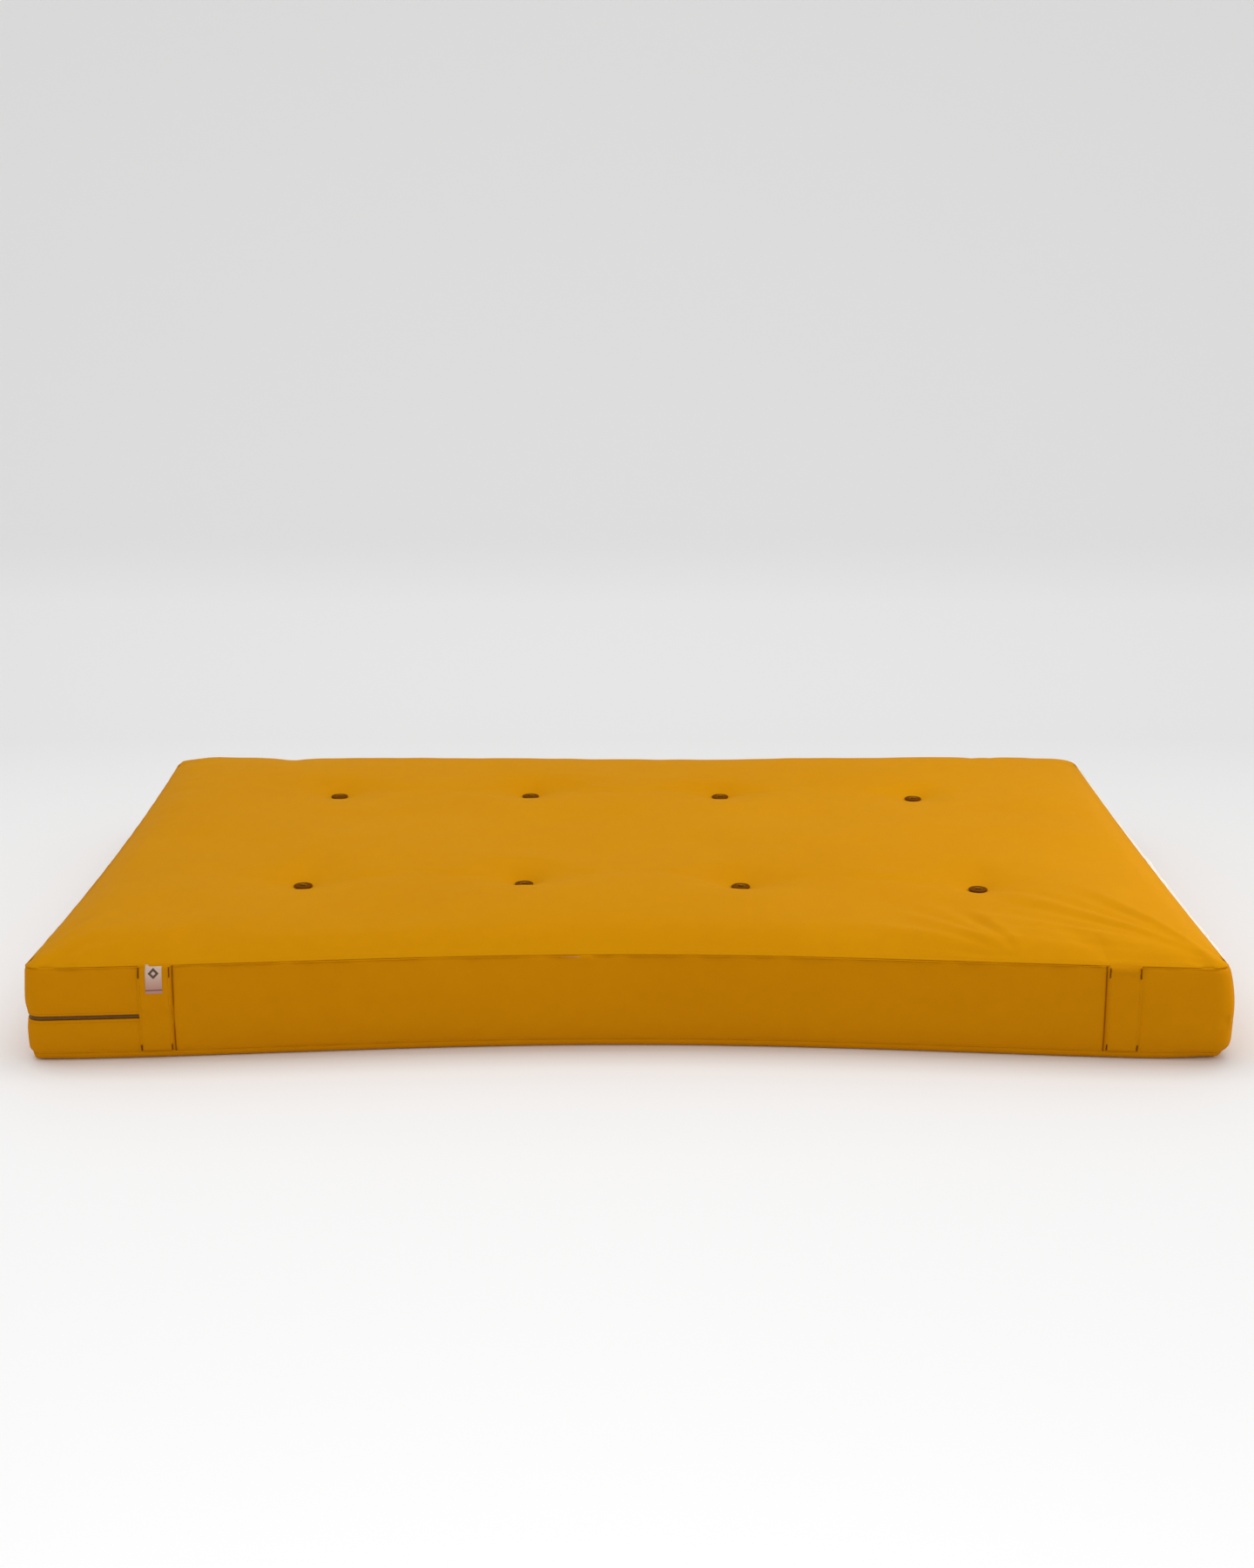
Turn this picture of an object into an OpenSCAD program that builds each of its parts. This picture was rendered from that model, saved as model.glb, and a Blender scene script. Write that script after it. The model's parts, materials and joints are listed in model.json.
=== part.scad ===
// Tufted futon mattress in a zipped, boxed cotton cover, lying flat on a floor.
// Units are millimetres. The origin is the middle of the underside, +X runs along
// the long side, +Y points to the back and +Z up. The zipped end is at -X.
// A depth into the pad is measured inwards from the outside of the cover, and a
// negative depth stands proud of it.

/* [Mattress] */
// Long side, corner to corner
pad_length = 2000; // [1900:10:2100]
// Short side, corner to corner
pad_width = 1400; // [1350:10:1450]
// How far the front side pulls in at its middle
front_pull = 72; // [40:2:80]
// How far the back side pulls in at its middle
back_pull = 30; // [20:2:50]
// How far the zipped end pulls in at its middle
zip_end_pull = 14; // [10:2:30]
// How far the plain end pulls in at its middle
plain_end_pull = 6; // [4:2:30]
// Radius of the four upright corners
corner_radius = 30; // [24:2:40]

/* [Height] */
// Height of the lower seam above the floor
low_seam = 14; // [10:1:18]
// Height of the upper seam
high_seam = 166; // [154:1:170]
// Height of the shoulder, where the crown turns over
shoulder_height = 192; // [176:1:194]
// Height of the crowned top
crown_height = 200; // [188:1:205]
// Run from the lower seam in to the flat underside
under_run = 20; // [16:1:30]
// Run from the upper seam in to the shoulder
shoulder_run = 70; // [50:5:90]
// Run from the upper seam in to the flat of the crown
crown_run = 200; // [150:10:220]

/* [Cloth] */
// Cover cloth, with its felt backing
cover_cloth = 1.5; // [1:0.1:2]
// Calico of the inner case
case_cloth = 1; // [0.8:0.1:1.2]
// Space between the cover and the case at the sides, where the zip runs
side_space = 3.8; // [3.6:0.1:5]
// Slack between one layer and the next
slack = 0.4; // [0.3:0.1:0.6]

/* [Filling] */
// Thickness of the foam core
core_thickness = 50; // [40:1:60]
// Height at which the crown batt begins
crown_batt_base = 160; // [148:1:162]

/* [Tufts] */
// Spacing of the tufts along the mattress
tuft_pitch = 400; // [380:5:410]
// Distance of each row of tufts from the middle
tuft_row = 310; // [296:2:340]
// How far the top tufts sink below the crown
top_sink = 17; // [12:1:20]
// How far the bottom tufts sink above the floor
bottom_sink = 11; // [11:1:14]
// Radius of the dimple round a top tuft
top_dimple = 80; // [60:5:100]
// Radius of the dimple round a bottom tuft
bottom_dimple = 50; // [40:5:60]
// Radius of a felt washer
washer_radius = 17; // [14:0.5:18]
// Thickness of a felt washer
washer_thickness = 4; // [3:0.5:4.5]
// Radius of the tufting twine
twine_radius = 1.8; // [1.2:0.1:2]

/* [Carrying straps] */
// Where the straps near the zipped end are
strap_left_x = -784; // [-800:1:-740]
// Where the straps near the plain end are
strap_right_x = 825; // [740:1:840]
// Width of a strap
strap_width = 55; // [40:1:60]
// Thickness of a strap, folded double
strap_thickness = 2; // [1.5:0.1:2.5]
// Length of each strap's loose middle
strap_span = 57; // [50:1:60]
// Height at which the loose middle begins
strap_span_base = 53.4; // [45:0.2:56]

/* [Zip] */
// Height of the zip above the floor
zip_height = 77; // [60:1:85]
// Gap between the two strips of boxing that the zip closes
zip_gap = 7.4; // [7:0.2:8.4]
// Width of one row of teeth
teeth_width = 2.2; // [2:0.1:2.4]
// Width of one zip tape
tape_width = 13.7; // [12:0.1:15]
// Where the slider stands along the end, measured from the middle
slider_y = 550; // [500:10:560]

/* [Label] */
// Width of the label
label_width = 27; // [20:1:30]
// Length of the label
label_length = 46; // [30:1:46]

/* [Hidden] */
$fn = 96;

cover_colour = [0.82, 0.57, 0.05];
boxing_colour = [0.72, 0.46, 0.03];
calico_colour = [0.93, 0.90, 0.82];
cotton_colour = [0.95, 0.93, 0.88];
foam_colour = [0.93, 0.90, 0.72];
felt_colour = [0.38, 0.20, 0.08];
twine_colour = [0.30, 0.16, 0.07];
brass_colour = [0.70, 0.58, 0.32];

margin = 20;                                  // spare size of a cutting shape
over = crown_height + margin;

// Each side is [its length, its distance from the middle, its pull, its turn].
sides = [
    [pad_length, pad_width / 2, front_pull, 0],
    [pad_width, pad_length / 2, plain_end_pull, 90],
    [pad_length, pad_width / 2, back_pull, 180],
    [pad_width, pad_length / 2, zip_end_pull, 270]
];
side_steps = 18;                              // straight steps that make up one side's arc
corner_steps = 6;                             // and those round one corner
corner_spread = 0.5;                          // growth of the corner radius with the run in

// Heights at which the cover is parted along its seams
low_cut = low_seam + 0.5;
high_cut = high_seam - 1;

// Depths at the sides and at the top and bottom, layer by layer
case_side = cover_cloth + side_space;
case_level = cover_cloth + slack;
fill_side = case_side + case_cloth + slack;
fill_level = case_level + case_cloth + slack;

// Heights of the flat layers of filling
core_base = (crown_batt_base + fill_level - core_thickness) / 2;
core_top = core_base + core_thickness;
lower_split = (fill_level + core_base) / 2;
upper_split = (core_top + crown_batt_base) / 2;

// Tufts 1 to 4 stand in the back row and 5 to 8 in the front row, from -X to +X.
// Each was tied by hand, so it stands a little off its mark.
tuft_nudge = [[4, 12], [0, 14], [-7, 10], [-9, -6], [13, 7], [13, 18], [6, 3], [33, -15]];
function tuft_place(i) = [
    (i % 4 - 1.5) * tuft_pitch + tuft_nudge[i].x,
    (i < 4 ? 1 : -1) * tuft_row + tuft_nudge[i].y
];
top_floor = crown_height - top_sink;
dimple_foot = washer_radius + 2;
hole_radius = twine_radius + slack;
knot_radius = 2.6;
cross_tie = 16;                               // length of the tie across a washer
tie_radius = 1.6;

// Zip slider
plate_length = 10;
plate_width = 6;
outer_plate = [-2.4, 0.6];                    // depths of the slider's outer plate
inner_plate = [4.0, 4.8];                     // and of its inner plate
teeth_depth = [1.0, 3.0];
tape_depth = [3.1, 3.7];
teeth_parting = 1;
bridge_height = 3;
bridge_width = 1.6;
bridge_length = 7.6;
pull_depth = -3.5;
pull_length = 28;
pull_width = 7;
pull_thickness = 1.2;
pin_radius = 0.7;

// ---- plan shapes -------------------------------------------------------------

// A side pulls in along an arc, whose centre lies this far from the middle
function side_radius(s) = (pow(s[0] / 2, 2) + pow(s[2], 2)) / (2 * s[2]);
function side_reach(s) = s[1] - s[2] + side_radius(s);
function side_centre(s) = turned([0, -side_reach(s)], s[3]);
function turned(p, a) = [p.x * cos(a) - p.y * sin(a), p.x * sin(a) + p.y * cos(a)];

// Where two circles cross, on the side nearer the middle
function crossing(c1, r1, c2, r2) =
    let (d = norm(c2 - c1), u = (c2 - c1) / d, a = (d * d + r1 * r1 - r2 * r2) / (2 * d))
    let (h = sqrt(r1 * r1 - a * a), m = c1 + a * u, n = h * [-u.y, u.x])
    norm(m + n) < norm(m - n) ? m + n : m - n;

// Centre of the rounding between side i and the next, for an outline that far in
function corner_centre(i, inset, radius) =
    let (a = sides[i % 4], b = sides[(i + 1) % 4])
    crossing(side_centre(a), side_radius(a) + inset + radius, side_centre(b), side_radius(b) + inset + radius);

// Angle at which a point is seen from a side's arc centre, with zero at the side's middle
function seen_from(s, p) = let (q = turned(p, -s[3])) atan2(q.x, q.y + side_reach(s));

// The points of an outline that far in, running round from the front's -X end
function outline(inset, radius) = [
    for (i = [0:3])
        let (s = sides[i], reach = side_radius(s) + inset)
        let (c = corner_centre(i, inset, radius))
        let (start = seen_from(s, corner_centre(i + 3, inset, radius)), end = seen_from(s, c))
        let (first = s[3] - 90 - end, last = s[3] - seen_from(sides[(i + 1) % 4], c))
        each [
            for (k = [0:side_steps]) let (a = start + (end - start) * k / side_steps)
                turned([reach * sin(a), reach * cos(a) - side_reach(s)], s[3]),
            for (k = [1:corner_steps - 1]) let (a = first + (last - first) * k / corner_steps)
                c + radius * [cos(a), sin(a)]
        ]
];

// The pad's outline, that far inside the cover's
module plan(depth) { polygon(outline(depth, corner_radius - depth)); }

// A wall along the pad's sides, between two depths and two heights
module wall(outer, inner, base, top) {
    translate([0, 0, base]) linear_extrude(height = top - base) difference() {
        plan(outer);
        plan(inner);
    }
}

// Keeps what lies between two values of X, on the front (-1), the back (1) or both (0)
module between(x0, x1, face) {
    y0 = face > 0 ? 0 : -pad_width;
    y1 = face < 0 ? 0 : pad_width;
    intersection() {
        children();
        translate([x0, y0, -margin]) cube([x1 - x0, y1 - y0, over + 2 * margin]);
    }
}

far_left = -pad_length;
far_right = pad_length;

// ---- the pad's own shape -----------------------------------------------------

// A solid through level rings of points, each ring at its height
module rings_solid(rings, heights) {
    count = len(rings[0]);
    last = len(rings) - 1;
    low_middle = (last + 1) * count;
    points = [
        for (k = [0:last]) for (p = rings[k]) [p.x, p.y, heights[k]],
        [0, 0, heights[0]],
        [0, 0, heights[last]]
    ];
    faces = [
        for (j = [0:count - 1]) let (next = (j + 1) % count) each [
            [low_middle, j, next],
            [low_middle + 1, last * count + next, last * count + j],
            for (k = [0:last - 1]) each [
                [k * count + j, (k + 1) * count + j, (k + 1) * count + next],
                [k * count + j, (k + 1) * count + next, k * count + next]
            ]
        ]
    ];
    polyhedron(points, faces);
}

// Cones that press in the top and bottom at each tuft
module dimple_cone(foot, mouth, sink) {
    past = 6;
    cylinder(h = sink + past, r1 = foot, r2 = mouth + (mouth - foot) * past / sink);
}
module dimples(level) {
    for (i = [0:7]) translate(tuft_place(i)) {
        translate([0, 0, top_floor - level]) dimple_cone(dimple_foot, top_dimple, top_sink);
        translate([0, 0, bottom_sink + level]) mirror([0, 0, 1])
            dimple_cone(dimple_foot, bottom_dimple, bottom_sink);
    }
}

// The whole pad, taken in by a depth at its sides and a level at its top and bottom
module pad(depth, level) {
    runs = [under_run, 0, 0, shoulder_run, crown_run];
    heights = [level, low_seam + level, high_seam - level, shoulder_height - level, crown_height - level];
    difference() {
        rings_solid([for (run = runs) outline(depth + run, corner_radius + corner_spread * run - depth)], heights);
        dimples(level);
    }
}

// A skin of the pad with a cloth's thickness
module skin(depth, level, cloth) {
    difference() {
        pad(depth, level);
        pad(depth + cloth, level + cloth);
    }
}

// Holes for the tufting twine
module pierced() {
    difference() {
        children();
        for (i = [0:7]) translate([tuft_place(i).x, tuft_place(i).y, -margin])
            cylinder(h = over + 2 * margin, r = hole_radius);
    }
}

// Keeps what lies between two heights
module storey(base, top) {
    intersection() {
        children();
        translate([-pad_length, -pad_width, base]) cube([2 * pad_length, 2 * pad_width, top - base]);
    }
}

// ---- cover -------------------------------------------------------------------

module cover_top_panel() {
    color(cover_colour) pierced() storey(high_cut, over) skin(0, 0, cover_cloth);
}
module cover_bottom_panel() {
    color(boxing_colour) pierced() storey(-margin, low_cut) skin(0, 0, cover_cloth);
}

// The long sides' boxing is joined to the ends' beside the inner edges of the straps
seam_left_x = strap_left_x + strap_width / 2 + 2;
seam_right_x = strap_right_x - strap_width / 2 - 2;

// A strip of boxing between two heights
module boxing(x0, x1, face, base, top) {
    color(boxing_colour) between(x0, x1, face) wall(0, cover_cloth, base, top);
}
module cover_front_boxing() { boxing(seam_left_x, seam_right_x, -1, low_cut, high_cut); }
module cover_back_boxing() { boxing(seam_left_x, seam_right_x, 1, low_cut, high_cut); }
module cover_plain_end_boxing() { boxing(seam_right_x, far_right, 0, low_cut, high_cut); }
module cover_zip_end_upper_boxing() {
    boxing(far_left, seam_left_x, 0, zip_height + zip_gap / 2, high_cut);
}
module cover_zip_end_lower_boxing() {
    boxing(far_left, seam_left_x, 0, low_cut, zip_height - zip_gap / 2);
}

// ---- zip ---------------------------------------------------------------------

zip_end_x = strap_left_x - 7;

module zip_run(depths, base, top) {
    between(far_left, zip_end_x, 0) wall(depths[0], depths[1], base, top);
}
module zip_teeth_upper() {
    color(boxing_colour)
        zip_run(teeth_depth, zip_height + teeth_parting / 2, zip_height + teeth_parting / 2 + teeth_width);
}
module zip_teeth_lower() {
    color(boxing_colour)
        zip_run(teeth_depth, zip_height - teeth_parting / 2 - teeth_width, zip_height - teeth_parting / 2);
}
module zip_tape_upper() {
    color(cover_colour) zip_run(tape_depth, zip_height + teeth_parting / 2, zip_height + tape_width);
}
module zip_tape_lower() {
    color(cover_colour) zip_run(tape_depth, zip_height - tape_width, zip_height - teeth_parting / 2);
}
module zip_end_stops() {
    color(brass_colour) for (face = [-1, 1])
        between(zip_end_x + slack, zip_end_x + 4, face)
            wall(outer_plate[1], inner_plate[0], zip_height - plate_width / 2, zip_height + plate_width / 2);
}

// Places a piece on the zipped end at the slider's rest, with X running along the
// zip towards -Y, Y running into the pad and the zip's height at zero
module at_slider() {
    s = sides[3];
    r = side_radius(s);
    rotate([0, 0, s[3]]) translate([0, -side_reach(s), 0]) rotate([0, 0, asin(slider_y / r)])
        translate([0, r, zip_height]) children();
}

// A block between two depths, centred along the zip and on its height
module zip_block(depths, along, high) {
    translate([-along / 2, depths[0], -high / 2]) cube([along, depths[1] - depths[0], high]);
}
module zip_slider() {
    web_length = 3;
    web = 0.4;
    post = 1.2;
    bridge_top = outer_plate[0] - bridge_height;
    color(brass_colour) at_slider() {
        zip_block(outer_plate, plate_length, plate_width);
        zip_block(inner_plate, plate_length, plate_width + 3);
        zip_block([outer_plate[1], inner_plate[0]], web_length, web);
        for (e = [-1, 1]) translate([e * (bridge_length - post) / 2, 0, 0])
            zip_block([bridge_top, outer_plate[0]], post, bridge_width);
        zip_block([bridge_top, bridge_top + 0.8], bridge_length, bridge_width);
    }
}
module zip_pull() {
    arm = 1;
    eye = 6;
    depths = [pull_depth - pull_thickness / 2, pull_depth + pull_thickness / 2];
    color(brass_colour) at_slider() {
        translate([0, pull_depth, -pull_width / 2 + arm]) cylinder(h = pull_width - 2 * arm, r = pin_radius);
        for (e = [-1, 1]) translate([eye / 2, 0, e * (pull_width - 3 * arm) / 2])
            zip_block(depths, eye + 2 * pin_radius, arm);
        translate([(eye + pull_length) / 2, 0, 0]) zip_block(depths, pull_length - eye, pull_width);
    }
}

// ---- carrying straps and label -----------------------------------------------

strap_depth = [-slack - strap_thickness, -slack];
label_depth = [strap_depth[0] - 1, strap_depth[0] - 0.3];
strap_span_top = strap_span_base + strap_span;

module strap_part(x, face, base, top) {
    color(cover_colour) between(x - strap_width / 2, x + strap_width / 2, face)
        wall(strap_depth[0], strap_depth[1], base, top);
}
// The sewn-down ends of a strap, above and below its loose middle
module strap_ends(x, face) {
    strap_part(x, face, low_seam + 2, strap_span_base - slack);
    strap_part(x, face, strap_span_top + slack, high_seam - 2);
}
// The loose middle that a hand draws out
module strap_span(x, face) { strap_part(x, face, strap_span_base, strap_span_top); }

module label() {
    color([0.90, 0.86, 0.80])
        between(strap_left_x - label_width / 2, strap_left_x + label_width / 2, -1)
            wall(label_depth[0], label_depth[1], high_seam - 2 - label_length, high_seam - 2);
}

// ---- filling -----------------------------------------------------------------

module inner_case() {
    color(calico_colour) pierced() skin(case_side, case_level, case_cloth);
}
// A layer of filling between two heights, with room for the next one above it
module layer(base, top, colour) {
    color(colour) pierced()
        translate([0, 0, base]) linear_extrude(height = top - base - slack) plan(fill_side);
}
module batt_lower_outer() {
    color(cotton_colour) pierced() storey(-margin, lower_split - slack) pad(fill_side, fill_level);
}
module batt_lower_inner() { layer(lower_split, core_base, cotton_colour); }
module foam_core() { layer(core_base, core_top, foam_colour); }
module batt_upper_inner() { layer(core_top, upper_split, cotton_colour); }
module batt_upper_outer() { layer(upper_split, crown_batt_base, cotton_colour); }
module batt_crown() {
    color(cotton_colour) pierced() storey(crown_batt_base, over) pad(fill_side, fill_level);
}

// ---- tufts -------------------------------------------------------------------

module washer(i, base) {
    color(felt_colour) translate([tuft_place(i).x, tuft_place(i).y, base]) difference() {
        cylinder(h = washer_thickness, r = washer_radius);
        translate([0, 0, -1]) cylinder(h = washer_thickness + 2, r = hole_radius);
    }
}
top_washer_base = top_floor + 0.3;
bottom_washer_base = bottom_sink - 0.3 - washer_thickness;
module top_washer(i) { washer(i, top_washer_base); }
module bottom_washer(i) { washer(i, bottom_washer_base); }

// The tie across a washer, with its knot
module cross_tie() {
    translate([-cross_tie / 2, 0, 0]) rotate([0, 90, 0]) cylinder(h = cross_tie, r = tie_radius);
    sphere(r = knot_radius);
}
// The twine through the mattress, tied off over both washers
module twine(i) {
    top_tie = top_washer_base + washer_thickness + knot_radius + 0.1;
    bottom_tie = bottom_washer_base - knot_radius - 0.1;
    color(twine_colour) translate(tuft_place(i)) {
        translate([0, 0, bottom_tie]) cylinder(h = top_tie - bottom_tie, r = twine_radius);
        translate([0, 0, top_tie]) cross_tie();
        translate([0, 0, bottom_tie]) cross_tie();
    }
}

// ---- nodes -------------------------------------------------------------------

cover_top_panel();
cover_bottom_panel();
cover_front_boxing();
cover_back_boxing();
cover_plain_end_boxing();
cover_zip_end_upper_boxing();
cover_zip_end_lower_boxing();
zip_tape_upper();
zip_tape_lower();
zip_teeth_upper();
zip_teeth_lower();
zip_end_stops();
zip_slider();
zip_pull();
label();
strap_ends(strap_left_x, -1);  // strap_ends_front_left
strap_ends(strap_right_x, -1);  // strap_ends_front_right
strap_ends(strap_left_x, 1);  // strap_ends_back_left
strap_ends(strap_right_x, 1);  // strap_ends_back_right
strap_span(strap_left_x, -1);  // strap_span_front_left
strap_span(strap_right_x, -1);  // strap_span_front_right
strap_span(strap_left_x, 1);  // strap_span_back_left
strap_span(strap_right_x, 1);  // strap_span_back_right
inner_case();
batt_lower_outer();
batt_lower_inner();
foam_core();
batt_upper_inner();
batt_upper_outer();
batt_crown();
for (i = [0:7]) {
    top_washer(i);
    bottom_washer(i);
    twine(i);
}
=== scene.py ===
"""Looks of a tufted futon mattress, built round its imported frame. Lengths are in metres."""

from __future__ import annotations

import json
import logging
import math
from collections.abc import Callable, Iterable, Sequence
from dataclasses import dataclass, field
from enum import Enum

import bmesh
import bpy
import numpy as np
from mathutils import Matrix, Vector
from mathutils.bvhtree import BVHTree

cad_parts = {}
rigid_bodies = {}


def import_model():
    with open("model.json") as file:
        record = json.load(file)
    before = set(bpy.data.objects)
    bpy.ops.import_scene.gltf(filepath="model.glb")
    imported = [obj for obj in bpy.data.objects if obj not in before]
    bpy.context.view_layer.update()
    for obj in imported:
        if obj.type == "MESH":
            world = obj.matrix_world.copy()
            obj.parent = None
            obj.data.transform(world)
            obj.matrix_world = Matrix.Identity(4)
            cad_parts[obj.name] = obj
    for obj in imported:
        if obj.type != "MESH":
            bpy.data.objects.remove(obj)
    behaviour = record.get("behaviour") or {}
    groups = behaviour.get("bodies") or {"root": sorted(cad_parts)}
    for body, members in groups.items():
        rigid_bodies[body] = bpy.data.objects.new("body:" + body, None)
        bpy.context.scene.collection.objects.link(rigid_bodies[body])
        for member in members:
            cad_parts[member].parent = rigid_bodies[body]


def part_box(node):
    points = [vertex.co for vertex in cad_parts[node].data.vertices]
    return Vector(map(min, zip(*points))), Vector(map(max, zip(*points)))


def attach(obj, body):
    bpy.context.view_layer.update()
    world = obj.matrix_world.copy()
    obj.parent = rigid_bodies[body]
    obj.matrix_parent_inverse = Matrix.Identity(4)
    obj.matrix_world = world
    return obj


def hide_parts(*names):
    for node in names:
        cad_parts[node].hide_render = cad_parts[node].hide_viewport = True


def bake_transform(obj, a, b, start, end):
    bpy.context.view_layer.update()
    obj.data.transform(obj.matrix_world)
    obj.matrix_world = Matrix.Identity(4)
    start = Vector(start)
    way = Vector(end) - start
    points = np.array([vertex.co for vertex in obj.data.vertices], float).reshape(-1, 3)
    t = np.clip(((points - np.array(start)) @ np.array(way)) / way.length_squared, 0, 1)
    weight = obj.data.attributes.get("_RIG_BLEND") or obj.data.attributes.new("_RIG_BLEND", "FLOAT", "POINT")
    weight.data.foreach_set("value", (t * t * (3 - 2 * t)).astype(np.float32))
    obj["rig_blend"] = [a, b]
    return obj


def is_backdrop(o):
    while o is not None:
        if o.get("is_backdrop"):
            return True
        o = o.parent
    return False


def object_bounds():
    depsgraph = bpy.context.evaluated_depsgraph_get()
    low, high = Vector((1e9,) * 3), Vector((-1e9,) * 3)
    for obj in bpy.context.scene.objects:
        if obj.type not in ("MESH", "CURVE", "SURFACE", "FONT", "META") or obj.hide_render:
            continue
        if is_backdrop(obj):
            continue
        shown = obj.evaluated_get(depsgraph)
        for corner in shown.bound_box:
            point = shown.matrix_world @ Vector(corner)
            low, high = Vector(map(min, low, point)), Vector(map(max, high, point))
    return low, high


LOG = logging.getLogger("futon")
MM = 0.001
ROOT = "mattress"
Array = np.ndarray


# ---- small helpers -----------------------------------------------------------


def eased(x: Array) -> Array:
    """Ease from 0 to 1 as x goes from 0 to 1."""
    x = np.clip(x, 0.0, 1.0)
    return x * x * (3.0 - 2.0 * x)


def hump(x: Array, width: float) -> Array:
    """A smooth bump of height 1 at x = 0 that dies away past width."""
    return np.exp(-((x / width) ** 2))


def ripples(x: Array, y: Array, wavelength: float, seed: int, waves: int = 9) -> Array:
    """A smooth random field made of plane waves, the same for the same seed.

    Args:
        x: First coordinates.
        y: Second coordinates.
        wavelength: The typical distance from crest to crest.
        seed: Chooses the waves.
        waves: How many waves are added up.

    Returns:
        Values that mostly lie between -1 and 1.
    """
    rng = np.random.default_rng(seed)
    total = np.zeros_like(x)
    for _ in range(waves):
        angle, phase = rng.uniform(0, 2 * math.pi, 2)
        number = 2 * math.pi / (wavelength * rng.uniform(0.7, 1.5))
        total += np.cos(number * (x * math.cos(angle) + y * math.sin(angle)) + phase)
    return total / math.sqrt(waves)


def positions_of(mesh: bpy.types.Mesh) -> Array:
    """All vertex positions of a mesh, one row each."""
    flat = np.empty(len(mesh.vertices) * 3, np.float32)
    mesh.vertices.foreach_get("co", flat)
    return flat.reshape(-1, 3).astype(float)


def set_positions(mesh: bpy.types.Mesh, positions: Array) -> None:
    """Write all vertex positions of a mesh."""
    mesh.vertices.foreach_set("co", positions.astype(np.float32).ravel())
    mesh.update()


def bm_positions(bm: bmesh.types.BMesh) -> Array:
    """All vertex positions of a bmesh, one row each."""
    return np.array([v.co for v in bm.verts], float).reshape(-1, 3)


def move_bm(bm: bmesh.types.BMesh, positions: Array) -> None:
    """Write all vertex positions of a bmesh."""
    for vert, place in zip(bm.verts, positions):
        vert.co = place


def finished(name: str, bm: bmesh.types.BMesh, materials: Sequence[bpy.types.Material]) -> bpy.types.Object:
    """Turn a bmesh into a smooth-shaded object at the origin, and free the bmesh.

    Args:
        name: The piece's name.
        bm: The piece's shape, in place.
        materials: Its materials, in slot order.

    Returns:
        The new object.
    """
    mesh = bpy.data.meshes.new(name)
    bm.to_mesh(mesh)
    bm.free()
    mesh.polygons.foreach_set("use_smooth", [True] * len(mesh.polygons))
    for material in materials:
        mesh.materials.append(material)
    piece = bpy.data.objects.new(name, mesh)
    bpy.context.scene.collection.objects.link(piece)
    return piece


def sharpen(piece: bpy.types.Object, degrees: float) -> None:
    """Shade edges that turn by more than an angle as sharp."""
    piece.data.set_sharp_from_angle(angle=math.radians(degrees))


def thicken(piece: bpy.types.Object, thickness: float, outwards: float = -1.0) -> None:
    """Give a cloth piece its thickness with a Solidify modifier."""
    solid = piece.modifiers.new("cloth_thickness", "SOLIDIFY")
    solid.thickness = thickness
    solid.offset = outwards
    solid.use_even_offset = False


class Weight(Enum):
    """How stiff a cloth is against bending, for the simulation."""

    LIGHT = 0.2
    HEAVY = 1.5


# ---- materials ---------------------------------------------------------------


class Shading:
    """A material's node tree, with short ways to add and join nodes."""

    def __init__(self, tree: bpy.types.NodeTree) -> None:
        """Start on a node tree.

        Args:
            tree: The tree of a material or a group.
        """
        self.tree = tree

    def node(self, kind: str, **values: object) -> bpy.types.Node:
        """Add a node and set its properties."""
        made = self.tree.nodes.new(kind)
        for name, value in values.items():
            setattr(made, name, value)
        return made

    def join(self, source: object, target: bpy.types.NodeSocket) -> None:
        """Feed a socket from another socket, or set its value."""
        if isinstance(source, bpy.types.NodeSocket):
            self.tree.links.new(source, target)
        else:
            target.default_value = source

    def math(self, operation: str, *inputs: object) -> bpy.types.NodeSocket:
        """Add a Math node and return its result."""
        made = self.node("ShaderNodeMath", operation=operation)
        for value, socket in zip(inputs, made.inputs):
            self.join(value, socket)
        return made.outputs[0]

    def scaled(self, vector: object, by: tuple[float, float, float]) -> bpy.types.NodeSocket:
        """Multiply a vector by another, part by part."""
        made = self.node("ShaderNodeVectorMath", operation="MULTIPLY")
        self.join(vector, made.inputs[0])
        made.inputs[1].default_value = by
        return made.outputs[0]

    def noise(self, vector: object, scale: float, detail: float = 3.0) -> bpy.types.NodeSocket:
        """Add a Noise Texture and return its value."""
        made = self.node("ShaderNodeTexNoise")
        self.join(vector, made.inputs["Vector"])
        made.inputs["Scale"].default_value = scale
        made.inputs["Detail"].default_value = detail
        return made.outputs[0]

    def mix(self, share: object, first: object, second: object) -> bpy.types.NodeSocket:
        """Mix two colours and return the result."""
        made = self.node("ShaderNodeMix", data_type="RGBA")
        self.join(share, made.inputs[0])
        self.join(first, made.inputs[6])
        self.join(second, made.inputs[7])
        return made.outputs[2]

    def fitted(self, value: object, low: float, high: float) -> bpy.types.NodeSocket:
        """Stretch a value so that low becomes 0 and high becomes 1."""
        made = self.node("ShaderNodeMapRange")
        self.join(value, made.inputs[0])
        made.inputs[1].default_value = low
        made.inputs[2].default_value = high
        return made.outputs[0]

    def bump(self, height: object, distance: float, strength: float = 1.0) -> bpy.types.NodeSocket:
        """Add a Bump node over a height and return its normal."""
        made = self.node("ShaderNodeBump")
        made.inputs["Strength"].default_value = strength
        made.inputs["Distance"].default_value = distance
        self.join(height, made.inputs["Height"])
        return made.outputs[0]


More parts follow.
